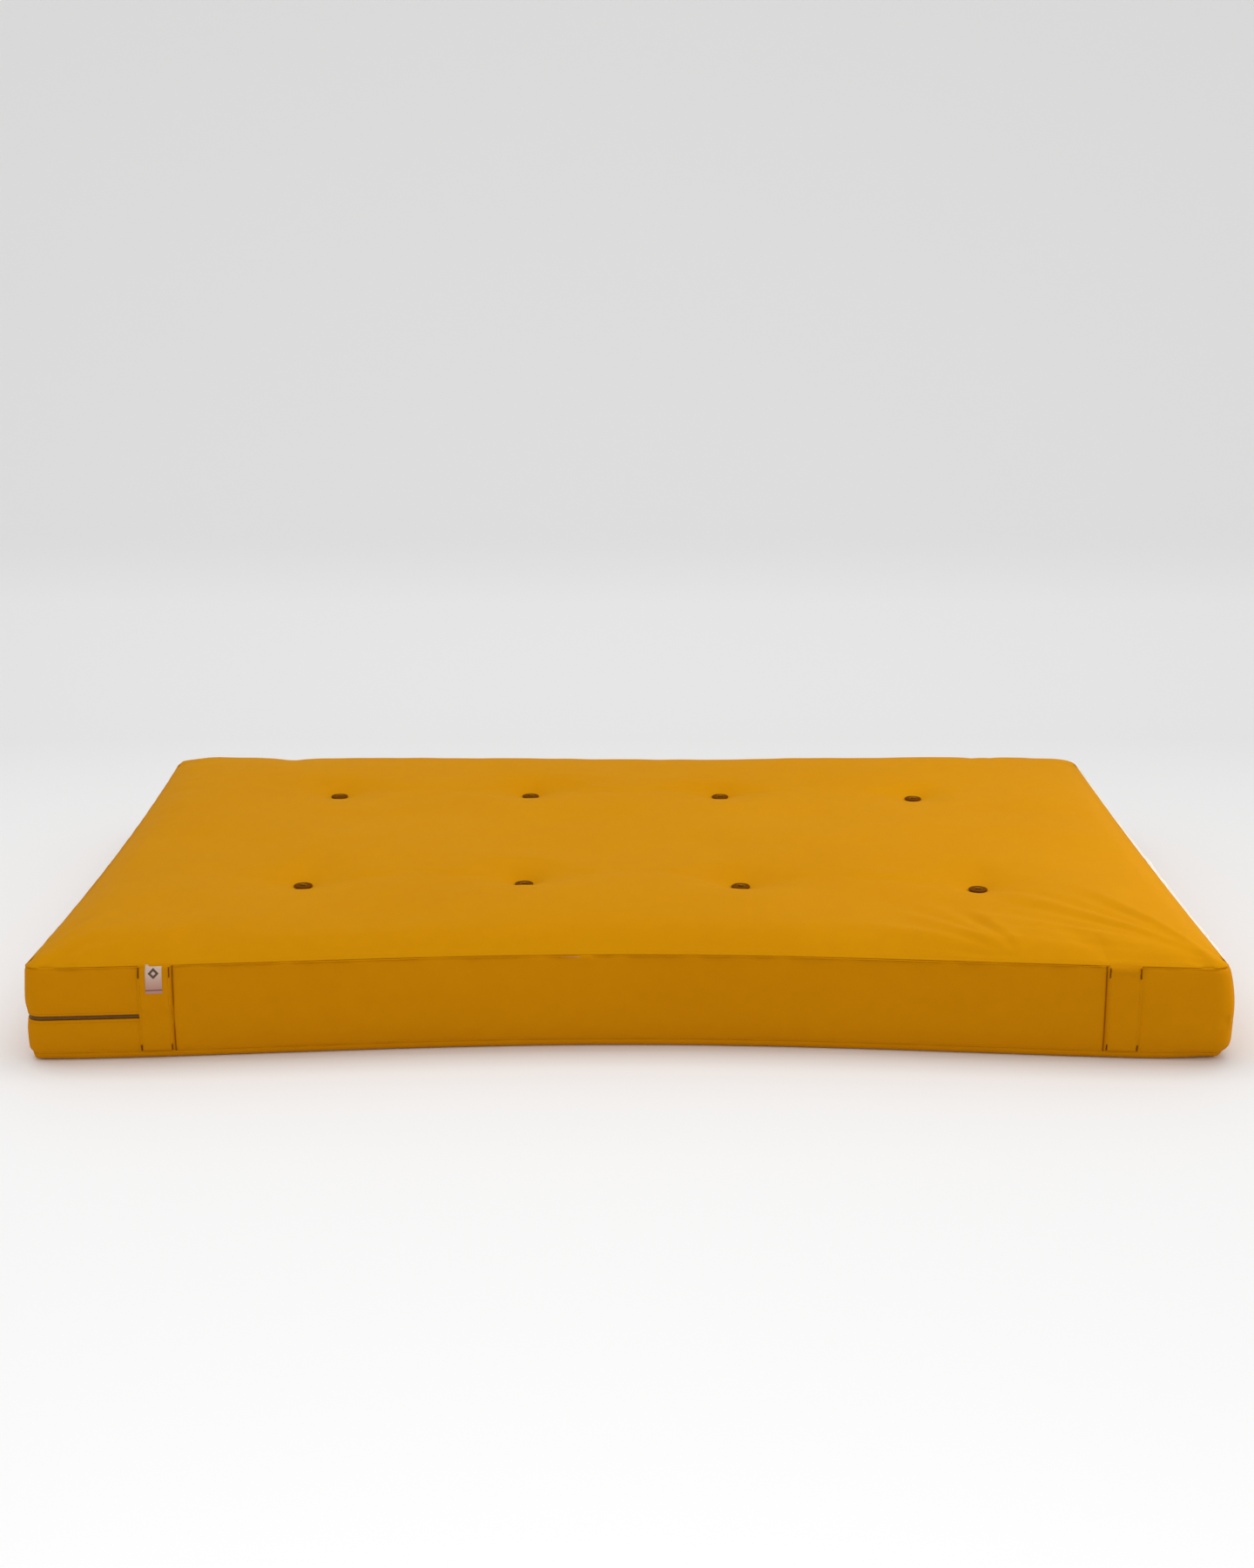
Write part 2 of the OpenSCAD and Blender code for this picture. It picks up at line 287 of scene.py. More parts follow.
def group_with(name: str, ins: dict[str, str], outs: dict[str, str]) -> tuple[bpy.types.NodeTree, Shading]:
    """Start a shader node group.

    Args:
        name: The group's name.
        ins: Input names and their socket types, without the NodeSocket prefix.
        outs: Output names and socket types.

    Returns:
        The group and its shading helper.
    """
    tree = bpy.data.node_groups.new(name, "ShaderNodeTree")
    for direction, sockets in (("INPUT", ins), ("OUTPUT", outs)):
        for label, kind in sockets.items():
            tree.interface.new_socket(name=label, in_out=direction, socket_type="NodeSocket" + kind)
    return tree, Shading(tree)


def drill_weave_group() -> bpy.types.NodeTree:
    """Twill weave on a UV map in metres: ribs that climb at 45 degrees, crossed by single threads."""
    tree, shade = group_with(
        "drill_weave", {"Vector": "Vector", "Threads": "Float"}, {"Height": "Float", "Thread": "Float"}
    )
    source = shade.node("NodeGroupInput")
    split = shade.node("ShaderNodeSeparateXYZ")
    shade.join(source.outputs[0], split.inputs[0])
    across = shade.math("MULTIPLY", split.outputs[0], source.outputs[1])
    along = shade.math("MULTIPLY", split.outputs[1], source.outputs[1])
    diagonal = shade.math("ADD", across, along)
    rib = shade.math("ABSOLUTE", shade.math("SINE", shade.math("MULTIPLY", diagonal, math.pi / 2)))
    thread = shade.math("ABSOLUTE", shade.math("SINE", shade.math("MULTIPLY", along, math.pi)))
    slub = shade.noise(shade.scaled(source.outputs[0], (60.0, 900.0, 1.0)), 1.0, 2.0)
    height = shade.math("ADD", shade.math("MULTIPLY", rib, 0.6), shade.math("MULTIPLY", thread, 0.3))
    out = shade.node("NodeGroupOutput")
    shade.join(shade.math("ADD", height, shade.math("MULTIPLY", slub, 0.6)), out.inputs[0])
    shade.join(shade.math("MULTIPLY", rib, thread), out.inputs[1])
    return tree


def mottle_group() -> bpy.types.NodeTree:
    """Uneven dye and handling marks at two scales, on Object coordinates."""
    tree, shade = group_with(
        "dye_mottle", {"Vector": "Vector", "Broad": "Float", "Fine": "Float"}, {"Mask": "Float"}
    )
    source = shade.node("NodeGroupInput")
    masks = []
    for index, detail in ((1, 3.0), (2, 5.0)):
        noise = shade.node("ShaderNodeTexNoise")
        shade.join(source.outputs[0], noise.inputs["Vector"])
        shade.join(source.outputs[index], noise.inputs["Scale"])
        noise.inputs["Detail"].default_value = detail
        masks.append(noise.outputs[0])
    blend = shade.math("ADD", shade.math("MULTIPLY", masks[0], 0.6), shade.math("MULTIPLY", masks[1], 0.4))
    out = shade.node("NodeGroupOutput")
    shade.join(shade.fitted(blend, 0.3, 0.7), out.inputs[0])
    return tree


def fibre_group() -> bpy.types.NodeTree:
    """Matted fibres, long in one direction and crossed by others, for felt, batting and twine."""
    tree, shade = group_with("matted_fibre", {"Vector": "Vector", "Scale": "Float"}, {"Height": "Float"})
    source = shade.node("NodeGroupInput")
    heights = []
    for stretch in ((1.0, 6.0, 1.5), (5.0, 1.0, 2.0)):
        noise = shade.node("ShaderNodeTexNoise")
        shade.join(shade.scaled(source.outputs[0], stretch), noise.inputs["Vector"])
        shade.join(source.outputs[1], noise.inputs["Scale"])
        noise.inputs["Detail"].default_value = 4.0
        noise.inputs["Distortion"].default_value = 0.6
        heights.append(noise.outputs[0])
    out = shade.node("NodeGroupOutput")
    shade.join(shade.math("MAXIMUM", *heights), out.inputs[0])
    return tree


def new_material(name: str) -> tuple[bpy.types.Material, Shading, bpy.types.Node]:
    """Start a material with a Principled BSDF.

    Args:
        name: The material's name.

    Returns:
        The material, its shading helper and its Principled node.
    """
    material = bpy.data.materials.new(name)
    material.use_nodes = True
    principled = next(n for n in material.node_tree.nodes if n.type == "BSDF_PRINCIPLED")
    return material, Shading(material.node_tree), principled


@dataclass(frozen=True)
class WovenFinish:
    """A woven cloth: its two dye shades, its thread count and its sheen, with painted shade in the gaps between its
    threads.
    """

    name: str
    light: tuple[float, float, float]
    dark: tuple[float, float, float]
    threads: float = 1100.0
    sheen: float = 0.05
    roughness: float = 0.62
    relief: float = 0.25 * MM

    def make(self, weave: bpy.types.NodeTree, mottle: bpy.types.NodeTree) -> bpy.types.Material:
        """Build the material on the piece's UV map.

        Args:
            weave: The drill weave group.
            mottle: The dye mottle group.

        Returns:
            The material.
        """
        material, shade, principled = new_material(self.name)
        uv = shade.node("ShaderNodeUVMap", uv_map="cloth")
        threads = shade.node("ShaderNodeGroup", node_tree=weave)
        shade.join(uv.outputs[0], threads.inputs[0])
        threads.inputs[1].default_value = self.threads
        place = shade.node("ShaderNodeTexCoord")
        dye = shade.node("ShaderNodeGroup", node_tree=mottle)
        shade.join(place.outputs["Object"], dye.inputs[0])
        dye.inputs[1].default_value = 2.2
        dye.inputs[2].default_value = 38.0
        shade_share = shade.math("MULTIPLY", dye.outputs[0], 0.55)
        base = shade.mix(shade_share, (*self.light, 1.0), (*self.dark, 1.0))
        # Painted shade: the gaps between the threads are darkened towards about half the dark dye shade.
        painted_gap_shade = shade.math("MULTIPLY", shade.math("SUBTRACT", 1.0, threads.outputs[1]), 0.18)
        shade.join(shade.mix(painted_gap_shade, base, (*(0.55 * c for c in self.dark), 1.0)), principled.inputs["Base Color"])
        shade.join(shade.bump(threads.outputs[0], self.relief), principled.inputs["Normal"])
        principled.inputs["Roughness"].default_value = self.roughness
        principled.inputs["Specular IOR Level"].default_value = 0.012
        principled.inputs["Sheen Weight"].default_value = self.sheen
        principled.inputs["Sheen Roughness"].default_value = 0.35
        principled.inputs["Sheen Tint"].default_value = (0.75, 1.0, 0.03, 1.0)
        return material


@dataclass(frozen=True)
class FibreFinish:
    """A matted or twisted fibre, such as felt, batting or twine."""

    name: str
    light: tuple[float, float, float]
    dark: tuple[float, float, float]
    scale: float
    relief: float

    def make(self, fibre: bpy.types.NodeTree) -> bpy.types.Material:
        """Build the material on Object coordinates.

        Args:
            fibre: The matted fibre group.

        Returns:
            The material.
        """
        material, shade, principled = new_material(self.name)
        place = shade.node("ShaderNodeTexCoord")
        hairs = shade.node("ShaderNodeGroup", node_tree=fibre)
        shade.join(place.outputs["Object"], hairs.inputs[0])
        hairs.inputs[1].default_value = self.scale
        share = shade.fitted(hairs.outputs[0], 0.4, 0.72)
        shade.join(shade.mix(share, (*self.dark, 1.0), (*self.light, 1.0)), principled.inputs["Base Color"])
        shade.join(shade.bump(hairs.outputs[0], self.relief), principled.inputs["Normal"])
        principled.inputs["Roughness"].default_value = 0.95
        principled.inputs["Specular IOR Level"].default_value = 0.012
        return material


@dataclass(frozen=True)
class MouldedFinish:
    """Brushed metal or moulded plastic, worn where it is handled."""

    name: str
    light: tuple[float, float, float]
    dark: tuple[float, float, float]
    metal: float
    roughness: float

    def make(self, mottle: bpy.types.NodeTree) -> bpy.types.Material:
        """Build the material on Object coordinates.

        Args:
            mottle: The dye mottle group, here for tarnish.

        Returns:
            The material.
        """
        material, shade, principled = new_material(self.name)
        place = shade.node("ShaderNodeTexCoord")
        tarnish = shade.node("ShaderNodeGroup", node_tree=mottle)
        shade.join(place.outputs["Object"], tarnish.inputs[0])
        tarnish.inputs[1].default_value = 120.0
        tarnish.inputs[2].default_value = 900.0
        mask = tarnish.outputs[0]
        shade.join(shade.mix(mask, (*self.light, 1.0), (*self.dark, 1.0)), principled.inputs["Base Color"])
        rough = shade.math("ADD", shade.math("MULTIPLY", mask, 0.25), self.roughness)
        shade.join(rough, principled.inputs["Roughness"])
        shade.join(shade.bump(mask, 0.05 * MM), principled.inputs["Normal"])
        principled.inputs["Metallic"].default_value = self.metal
        return material


@dataclass(frozen=True)
class FoamFinish:
    """Open-cell foam, with painted shade in its pores."""

    name: str = "foam"
    light: tuple[float, float, float] = (0.86, 0.78, 0.5)
    dark: tuple[float, float, float] = (0.6, 0.5, 0.28)

    def make(self) -> bpy.types.Material:
        """Build the material on Object coordinates."""
        material, shade, principled = new_material(self.name)
        place = shade.node("ShaderNodeTexCoord")
        cells = shade.node("ShaderNodeTexVoronoi")
        shade.join(place.outputs["Object"], cells.inputs["Vector"])
        cells.inputs["Scale"].default_value = 700.0
        # Painted shade: the middle of each cell, the pore, is darker than the struts round it.
        share = shade.fitted(cells.outputs["Distance"], 0.0, 0.7)
        shade.join(shade.mix(share, (*self.dark, 1.0), (*self.light, 1.0)), principled.inputs["Base Color"])
        shade.join(shade.bump(cells.outputs["Distance"], 0.5 * MM), principled.inputs["Normal"])
        principled.inputs["Roughness"].default_value = 0.9
        return material


@dataclass(frozen=True)
class LabelFinish:
    """A woven label: pale ground, dark border stripes and a plain diamond."""

    name: str = "label_cloth"
    ground: tuple[float, float, float] = (0.60, 0.44, 0.34)
    foot: tuple[float, float, float] = (0.46, 0.22, 0.17)
    mark: tuple[float, float, float] = (0.10, 0.045, 0.03)
    diamond_height: float = 0.76
    diamond_size: float = 0.34
    stripe_height: float = 0.14

    def make(self, weave: bpy.types.NodeTree) -> bpy.types.Material:
        """Build the material on a UV map that runs from 0 to 1 over the label.

        Args:
            weave: The drill weave group.

        Returns:
            The material.
        """
        material, shade, principled = new_material(self.name)
        uv = shade.node("ShaderNodeUVMap", uv_map="cloth")
        split = shade.node("ShaderNodeSeparateXYZ")
        shade.join(uv.outputs[0], split.inputs[0])
        across = shade.math("ABSOLUTE", shade.math("SUBTRACT", split.outputs[0], 0.5))
        up = shade.math("ABSOLUTE", shade.math("SUBTRACT", split.outputs[1], self.diamond_height))
        reach = shade.math("ADD", across, shade.math("MULTIPLY", up, 1.7))
        diamond = shade.math("LESS_THAN", reach, self.diamond_size)
        hollow = shade.math("GREATER_THAN", reach, 0.42 * self.diamond_size)
        stripe = shade.math(
            "LESS_THAN", shade.math("ABSOLUTE", shade.math("SUBTRACT", split.outputs[1], self.stripe_height)), 0.018
        )
        mask = shade.math("MAXIMUM", shade.math("MULTIPLY", diamond, hollow), stripe)
        threads = shade.node("ShaderNodeGroup", node_tree=weave)
        shade.join(shade.scaled(uv.outputs[0], (0.027, 0.046, 1.0)), threads.inputs[0])
        threads.inputs[1].default_value = 2600.0
        fade = shade.fitted(split.outputs[1], 0.15, 0.75)
        ground = shade.mix(fade, (*self.foot, 1.0), (*self.ground, 1.0))
        shade.join(shade.mix(mask, ground, (*self.mark, 1.0)), principled.inputs["Base Color"])
        shade.join(shade.bump(threads.outputs[0], 0.12 * MM), principled.inputs["Normal"])
        principled.inputs["Roughness"].default_value = 0.7
        return material


@dataclass
class Wardrobe:
    """Every material of the mattress, built once."""

    cover: bpy.types.Material = field(init=False)
    # The cover cloth with painted shade, for the sides, the bottom and the straps.
    boxing: bpy.types.Material = field(init=False)
    thread: bpy.types.Material = field(init=False)
    tape: bpy.types.Material = field(init=False)
    coil: bpy.types.Material = field(init=False)
    metal: bpy.types.Material = field(init=False)
    label: bpy.types.Material = field(init=False)
    calico: bpy.types.Material = field(init=False)
    batt: bpy.types.Material = field(init=False)
    foam: bpy.types.Material = field(init=False)
    felt: bpy.types.Material = field(init=False)
    twine: bpy.types.Material = field(init=False)

    def __post_init__(self) -> None:
        """Build the node groups and the materials."""
        weave, mottle, fibre = drill_weave_group(), mottle_group(), fibre_group()
        self.cover = WovenFinish("cover_cloth", (0.650, 0.272, 0.0012), (0.575, 0.225, 0.001)).make(weave, mottle)
        # The boxing cloth is the cover cloth made a little less green: a copy with painted shade, for the sides, the
        # bottom and the straps, which face away from the lights.
        self.boxing = WovenFinish("boxing_cloth_painted_shade", (0.645, 0.251, 0.0012), (0.570, 0.207, 0.001)).make(weave, mottle)
        self.tape = WovenFinish("zip_tape", (0.40, 0.17, 0.006), (0.30, 0.12, 0.004), 1800.0).make(weave, mottle)
        self.calico = WovenFinish("calico", (0.80, 0.73, 0.58), (0.70, 0.62, 0.47), 1400.0, 0.1).make(weave, mottle)
        self.thread = FibreFinish("sewing_thread", (0.50, 0.22, 0.01), (0.30, 0.12, 0.006), 2500.0, 0.1 * MM).make(fibre)
        self.batt = FibreFinish("cotton_batt", (0.88, 0.85, 0.78), (0.68, 0.64, 0.56), 90.0, 3 * MM).make(fibre)
        self.felt = FibreFinish("felt", (0.22, 0.072, 0.003), (0.09, 0.026, 0.001), 700.0, 0.6 * MM).make(fibre)
        self.twine = FibreFinish("twine", (0.46, 0.20, 0.02), (0.22, 0.09, 0.012), 1500.0, 0.3 * MM).make(fibre)
        self.coil = MouldedFinish("zip_coil", (0.20, 0.085, 0.012), (0.12, 0.05, 0.008), 0.0, 0.45).make(mottle)
        self.metal = MouldedFinish("zip_metal", (0.62, 0.47, 0.24), (0.34, 0.24, 0.11), 1.0, 0.3).make(mottle)
        self.foam = FoamFinish().make()
        self.label = LabelFinish().make(weave)


# ---- the cover's shape -------------------------------------------------------


@dataclass(frozen=True)
class Pad:
    """The mattress's outer shape, from the corner-to-corner sizes of its cover.

    A place on the pad is three numbers: s from -1 to 1 along its length, t from -1 to 1
    across its width, and h from 0 at the lower seam to 1 at the upper one.
    """

    half_length: float = 1.0
    half_width: float = 0.7
    front_pull: float = 72 * MM
    straight_ends: float = 0.6
    back_pull: float = 30 * MM
    zip_end_pull: float = 14 * MM
    plain_end_pull: float = 6 * MM
    corner_radius: float = 30 * MM
    low_seam: float = 14 * MM
    high_seam: float = 166 * MM
    crown_rise: float = 34 * MM
    crown_run: float = 52 * MM
    edge_radius: float = 16 * MM
    plain_corner_radius: float = 38 * MM
    zip_corner_radius: float = 22 * MM
    corner_reach: float = 70 * MM

    def insets(self, s: Array, t: Array) -> tuple[Array, Array]:
        """Distances in from the nearer end and from the nearer long side."""
        return (1 - np.abs(s)) * self.half_length, (1 - np.abs(t)) * self.half_width

    def outline(self, s: Array, t: Array) -> tuple[Array, Array, Array, Array]:
        """Where a place lies in plan, with its concave sides and rounded corners.

        Args:
            s: Places along the length.
            t: Places across the width.

        Returns:
            x, y, and the two parts of the outward direction, which are 0 well inside.
        """
        u, v = self.insets(s, t)
        a = np.clip(1 - u / self.corner_radius, 0, 1)
        b = np.clip(1 - v / self.corner_radius, 0, 1)
        round_a, round_b = a * np.sqrt(1 - b * b / 2), b * np.sqrt(1 - a * a / 2)
        along = np.sign(s) * (1 - (u + self.corner_radius * (a - round_a)) / self.half_length)
        across = np.sign(t) * (1 - (v + self.corner_radius * (b - round_b)) / self.half_width)
        pull = np.where(t < 0, self.front_pull, self.back_pull)
        slack = np.where(t < 0, self.straight_ends, 0.0)
        bow = (1 - slack) * (1 - along**2) + slack * np.cos(math.pi / 2 * along) ** 2
        end = np.where(s < 0, self.zip_end_pull, self.plain_end_pull)
        x = along * (self.half_length - end * (1 - across**2))
        y = across * (self.half_width - pull * bow)
        size = np.maximum(np.hypot(round_a, round_b), 1e-9)
        return x, y, np.sign(s) * round_a / size, np.sign(t) * round_b / size

    def edge_round(self, s: Array, t: Array) -> Array:
        """Radius of the lower edge, which is largest at the corners."""
        u, v = self.insets(s, t)
        near = hump(np.hypot(u, v), self.corner_reach)
        corner = np.where(s < 0, self.zip_corner_radius, self.plain_corner_radius)
        return self.edge_radius + (corner - self.edge_radius) * near


@dataclass(frozen=True)
class Fold:
    """A shallow fold in the cloth that runs straight from one point to another in plan."""

    start: tuple[float, float]
    end: tuple[float, float]
    height: float
    width: float
    spread: float = 0.05

    def lift(self, x: Array, y: Array) -> Array:
        """How far the fold lifts the cloth at each point."""
        dx, dy = self.end[0] - self.start[0], self.end[1] - self.start[1]
        length = math.hypot(dx, dy)
        along = ((x - self.start[0]) * dx + (y - self.start[1]) * dy) / length
        across = ((y - self.start[1]) * dx - (x - self.start[0]) * dy) / length
        width = self.width + self.spread * np.clip(along, 0, length)
        fade = eased(along / (0.12 * length) + 0.5) * eased((length - along) / (0.6 * length))
        return self.height * np.exp(-((across / width) ** 2)) * fade


def fan(at: tuple[float, float], first: float, last: float, count: int, reach: float, height: float,
        width: float, seed: int) -> list[Fold]:
    """Folds that spread from a point, each a little off its place.

    Args:
        at: Where the folds meet.
        first: Direction of the first fold, in degrees from +X.
        last: Direction of the last fold.
        count: How many folds there are.
        reach: Their typical length.
        height: Their typical height; every other fold is a hollow.
        width: Their width where they meet.
        seed: Chooses the small differences.

    Returns:
        The folds.
    """
    rng = np.random.default_rng(seed)
    folds = []
    for k in range(count):
        angle = math.radians(first + (last - first) * (k + rng.uniform(-0.3, 0.3)) / max(count - 1, 1))
        length = reach * rng.uniform(0.6, 1.15)
        end = (at[0] + length * math.cos(angle), at[1] + length * math.sin(angle))
        folds.append(Fold(at, end, height * rng.uniform(0.6, 1.2) * (-1) ** k, width))
    return folds


class Panel(Enum):
    """The cover's cloth panels, each with its CAD node's name, and the open slot of the zip."""

    TOP = "cover_top_panel"
    BOTTOM = "cover_bottom_panel"
    FRONT = "cover_front_boxing"
    BACK = "cover_back_boxing"
    PLAIN_END = "cover_plain_end_boxing"
    ZIP_UPPER = "cover_zip_end_upper_boxing"
    ZIP_LOWER = "cover_zip_end_lower_boxing"
    SLOT = "zip_slot"


@dataclass
class Cover:
    """The cover: one closed bag of cloth, puffed by its filling, then parted into its sewn panels."""

    pad: Pad
    wardrobe: Wardrobe
    cell: float = 14 * MM
    edge_cell: float = 11 * MM
    edge_zone: float = 0.32
    cloth: float = 1.4 * MM
    seam_depth: float = 3.2 * MM
    seam_width: float = 4.5 * MM
    bulge: float = 5.0 * MM
    end_bulge: float = 9.0 * MM
    slot_end: float = 5.0 * MM
    puff_cap: float = 4.5 * MM
    puff_frames: int = 16
    pressure: float = 3.0
    hem_depth: float = 3.0 * MM
    folds: list[Fold] = field(default_factory=list)

    def __post_init__(self) -> None:
        """Read the places that the frame settles."""
        boxes = [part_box(f"tuft_{i}_top_washer") for i in range(1, 9)]
        self.tufts = [((low + high) / 2).xy for low, high in boxes]
        self.washer_radius = (boxes[0][1].x - boxes[0][0].x) / 2
        self.tuft_floor = boxes[0][0].z - 0.3 * MM
        self.under_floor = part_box("tuft_1_bottom_washer")[1].z + 0.3 * MM
        self.left_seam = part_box(Panel.FRONT.value)[0].x
        self.right_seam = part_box(Panel.FRONT.value)[1].x
        self.slot_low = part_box(Panel.ZIP_LOWER.value)[1].z
        self.slot_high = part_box(Panel.ZIP_UPPER.value)[0].z
        self.folds = self.plan_folds()
        self.tree: BVHTree | None = None
        self.bag: bmesh.types.BMesh | None = None

    def plan_folds(self) -> list[Fold]:
        """The pull lines: strong ones at the corner on the right of the front, weak ones elsewhere."""
        long, wide = self.pad.half_length, self.pad.half_width
        folds = fan((long - 0.03, -wide + 0.02), 118, 170, 13, 0.66, 4.4 * MM, 6.0 * MM, 3)
        folds += fan((0.66, -wide + 0.03), 104, 164, 8, 0.34, 3.0 * MM, 7 * MM, 9)
        folds += fan((-long, -wide), 20, 62, 5, 0.30, 1.6 * MM, 9 * MM, 4)
        folds += fan((-long, wide), -75, -18, 6, 0.24, 1.8 * MM, 8 * MM, 5)
        folds += fan((long, wide), 200, 248, 4, 0.22, 1.2 * MM, 9 * MM, 6)
        folds += [Fold((-long, 0.62 - 0.085 * k), (-long + 0.16, 0.60 - 0.10 * k), 1.3 * MM * (-1) ** k, 7 * MM)
                  for k in range(7)]
        for i, tuft in enumerate(self.tufts):
            rng = np.random.default_rng(40 + i)
            for side in (0.0, 180.0):
                lean = side + rng.uniform(-14, 14)
                folds += fan(tuple(tuft), lean, lean, 1, 0.19, -2.0 * MM, 5 * MM, 60 + i)
            start = rng.uniform(0, 60)
            folds += fan(tuple(tuft), start, start + 300, 6, 0.10, 1.1 * MM, 5 * MM, 80 + i)
        return folds

    # -- the bag as a block of places --

    def lines(self, half: float, snaps: Sequence[float], coarseness: float) -> list[float]:
        """Places of the grid lines from -1 to 1, closer together near the edges.

        Args:
            half: The half size in metres that 1 stands for.
            snaps: Places that must each fall on a line.
            coarseness: How many times further apart the lines are than in the cover.

        Returns:
            The places, in order.
        """
        insets = [0.0, 2.2 * MM, 5.5 * MM, 10 * MM, 17 * MM]
        while insets[-1] < half - coarseness * self.edge_cell:
            step = self.edge_cell if insets[-1] < self.edge_zone else self.cell
            insets.append(insets[-1] + coarseness * step)
        count = len(insets)
        places = [-1 + d / half for d in insets] + [1 - d / half for d in reversed(insets)]
        gap = places[count] - places[count - 1]
        if gap < 0.4 * self.cell / half:
            places[count - 1 : count + 1] = [0.0]
        for snap in snaps:
            places = [p for p in places if abs(p - snap) > 0.8 * self.cell / half]
            places += [snap + offset / half for offset in (-5 * MM, 0.0, 5 * MM)]
        return sorted(places)

    def heights(self) -> list[float]:
        """Places of the grid lines up the sides, from 0 to 1, with lines along the zip's slot."""
        low, high = self.pad.low_seam, self.pad.high_seam
        below = [14, 16, 19, 25, 34, 44, 54, 63, 69.5]
        above = [84.5, 91, 101, 112, 123, 134, 145, 154, 160, 163.5, 166]
        levels = [z * MM for z in below] + [self.slot_low, self.slot_high] + [z * MM for z in above]
        return [(z - low) / (high - low) for z in levels]

    def block(self, coarseness: float = 1.0) -> bmesh.types.BMesh:
        """The bag as a grid block whose coordinates are places, with its panels and UV map.

        Args:
            coarseness: How many times larger its cells are than the cover's.

        Returns:
            The block, whose vertices carry their height up the side as "up".
        """
        along = self.lines(self.pad.half_length, [self.left_seam, self.right_seam], coarseness)
        across = self.lines(self.pad.half_width, [], coarseness)
        levels = self.heights()
        bm = bmesh.new()
        bmesh.ops.create_grid(bm, x_segments=len(along) - 1, y_segments=len(across) - 1, size=1.0)
        nx, ny = len(along) - 1, len(across) - 1
        for vert in bm.verts:
            i, j = round((vert.co.x + 1) / 2 * nx), round((vert.co.y + 1) / 2 * ny)
            vert.co = (along[i], across[j], 0.0)
        bmesh.ops.reverse_faces(bm, faces=bm.faces[:])
        raised = bmesh.ops.extrude_face_region(bm, geom=bm.faces[:], use_keep_orig=True)["geom"]
        for vert in (g for g in raised if isinstance(g, bmesh.types.BMVert)):
            vert.co.z = 1.0
        upright = [e for e in bm.edges if abs(e.verts[0].co.z - e.verts[1].co.z) > 0.5]
        bmesh.ops.subdivide_edges(bm, edges=upright, cuts=len(levels) - 2, use_grid_fill=True)
        for vert in bm.verts:
            vert.co.z = levels[round(vert.co.z * (len(levels) - 1))]
        up = bm.verts.layers.float.new("up")
        for vert in bm.verts:
            vert[up] = vert.co.z
        bmesh.ops.recalc_face_normals(bm, faces=bm.faces[:])
        self.tag(bm)
        return bm

    def tag(self, bm: bmesh.types.BMesh) -> None:
        """Give each face its panel, as a material index, and its UVs in metres."""
        order = list(Panel)
        uv = bm.loops.layers.uv.new("cloth")
        slot_low, slot_high = (self.place_of_height(z) for z in (self.slot_low, self.slot_high))
        for face in bm.faces:
            normal, middle = face.normal, face.calc_center_median()
            if abs(normal.z) > 0.5:
                panel = Panel.TOP if normal.z > 0 else Panel.BOTTOM
            elif self.left_seam < middle.x < self.right_seam:
                panel = Panel.FRONT if middle.y < 0 else Panel.BACK
            elif middle.x > 0:
                panel = Panel.PLAIN_END
            elif slot_low < middle.z < slot_high and middle.x < self.left_seam - self.slot_end:
                panel = Panel.SLOT
            else:
                panel = Panel.ZIP_UPPER if middle.z > slot_high else Panel.ZIP_LOWER
            face.material_index = order.index(panel)
            for loop in face.loops:
                place = loop.vert.co
                s, t = place.x * self.pad.half_length, place.y * self.pad.half_width
                z = self.pad.low_seam + place.z * (self.pad.high_seam - self.pad.low_seam)
                if abs(normal.z) > 0.5:
                    loop[uv].uv = (s, t)
                else:
                    loop[uv].uv = (s, z) if abs(normal.y) > 0.5 else (t, z)

    def place_of_height(self, z: float) -> float:
        """The place up the side, from 0 to 1, of a height."""
        return (z - self.pad.low_seam) / (self.pad.high_seam - self.pad.low_seam)

    # -- from places to points --

    def top_height(self, x: Array, y: Array, u: Array, v: Array) -> Array:
        """Height of the top panel: crown, slow hollows, pull lines and tuft dimples."""
        pad = self.pad
        crown = (1 - np.exp(-u / pad.crown_run)) * (1 - np.exp(-v / pad.crown_run))
        z = pad.high_seam + pad.crown_rise * crown
        inside = eased(np.minimum(u, v) / 0.12)
        z += (2.8 * MM * ripples(x, y, 0.62, 11) + 1.4 * MM * ripples(x, y, 0.24, 12)) * inside
        z += 0.45 * MM * ripples(x, 0.6 * y, 0.085, 13) * eased(np.minimum(u, v) / 0.04)
        lean = (x - 0.42) - 0.5 * (y + 0.2)
        z -= 5 * MM * eased(lean / 0.4) * inside
        for fold in self.folds:
            z += fold.lift(x, y) * eased(np.minimum(u, v) / 0.02)
        for tuft in self.tufts:
            r = np.hypot(x - tuft.x, y - tuft.y)
            z -= 3.5 * MM * hump(r, 0.15)
            near = np.clip(1 - (r - self.washer_radius - 2 * MM) / (95 * MM), 0, 1)
            share = np.where(near >= 1, 1.0, 0.55 * near**2.0 + 0.45 * near**6.0)
            z = z * (1 - share) + self.tuft_floor * share
        return z

    def seam_groove(self, distance: Array) -> Array:
        """How deep the cloth is drawn in at a distance from a seam."""
        return self.seam_depth * np.exp(-((distance / self.seam_width) ** 2))

    def points(self, places: Array, drawn_in: float = 0.0, side_in: float = 0.0) -> Array:
        """Turn places on the bag into points.

        Args:
            places: One row of s, t and h for each vertex.
            drawn_in: How far below the cover the points lie; above 0 there are no seam grooves.
            side_in: How far inside its sides they lie.

        Returns:
            One row of x, y and z for each.
        """
        pad = self.pad
        s, t, h = places.T
        u, v = pad.insets(s, t)
        x, y, out_x, out_y = pad.outline(s, t)
        inset = np.minimum(u, v)
        top, bottom = h > 1 - 1e-6, h < 1e-6
        radius = pad.edge_round(s, t)
        side_z = pad.low_seam + h * (pad.high_seam - pad.low_seam)

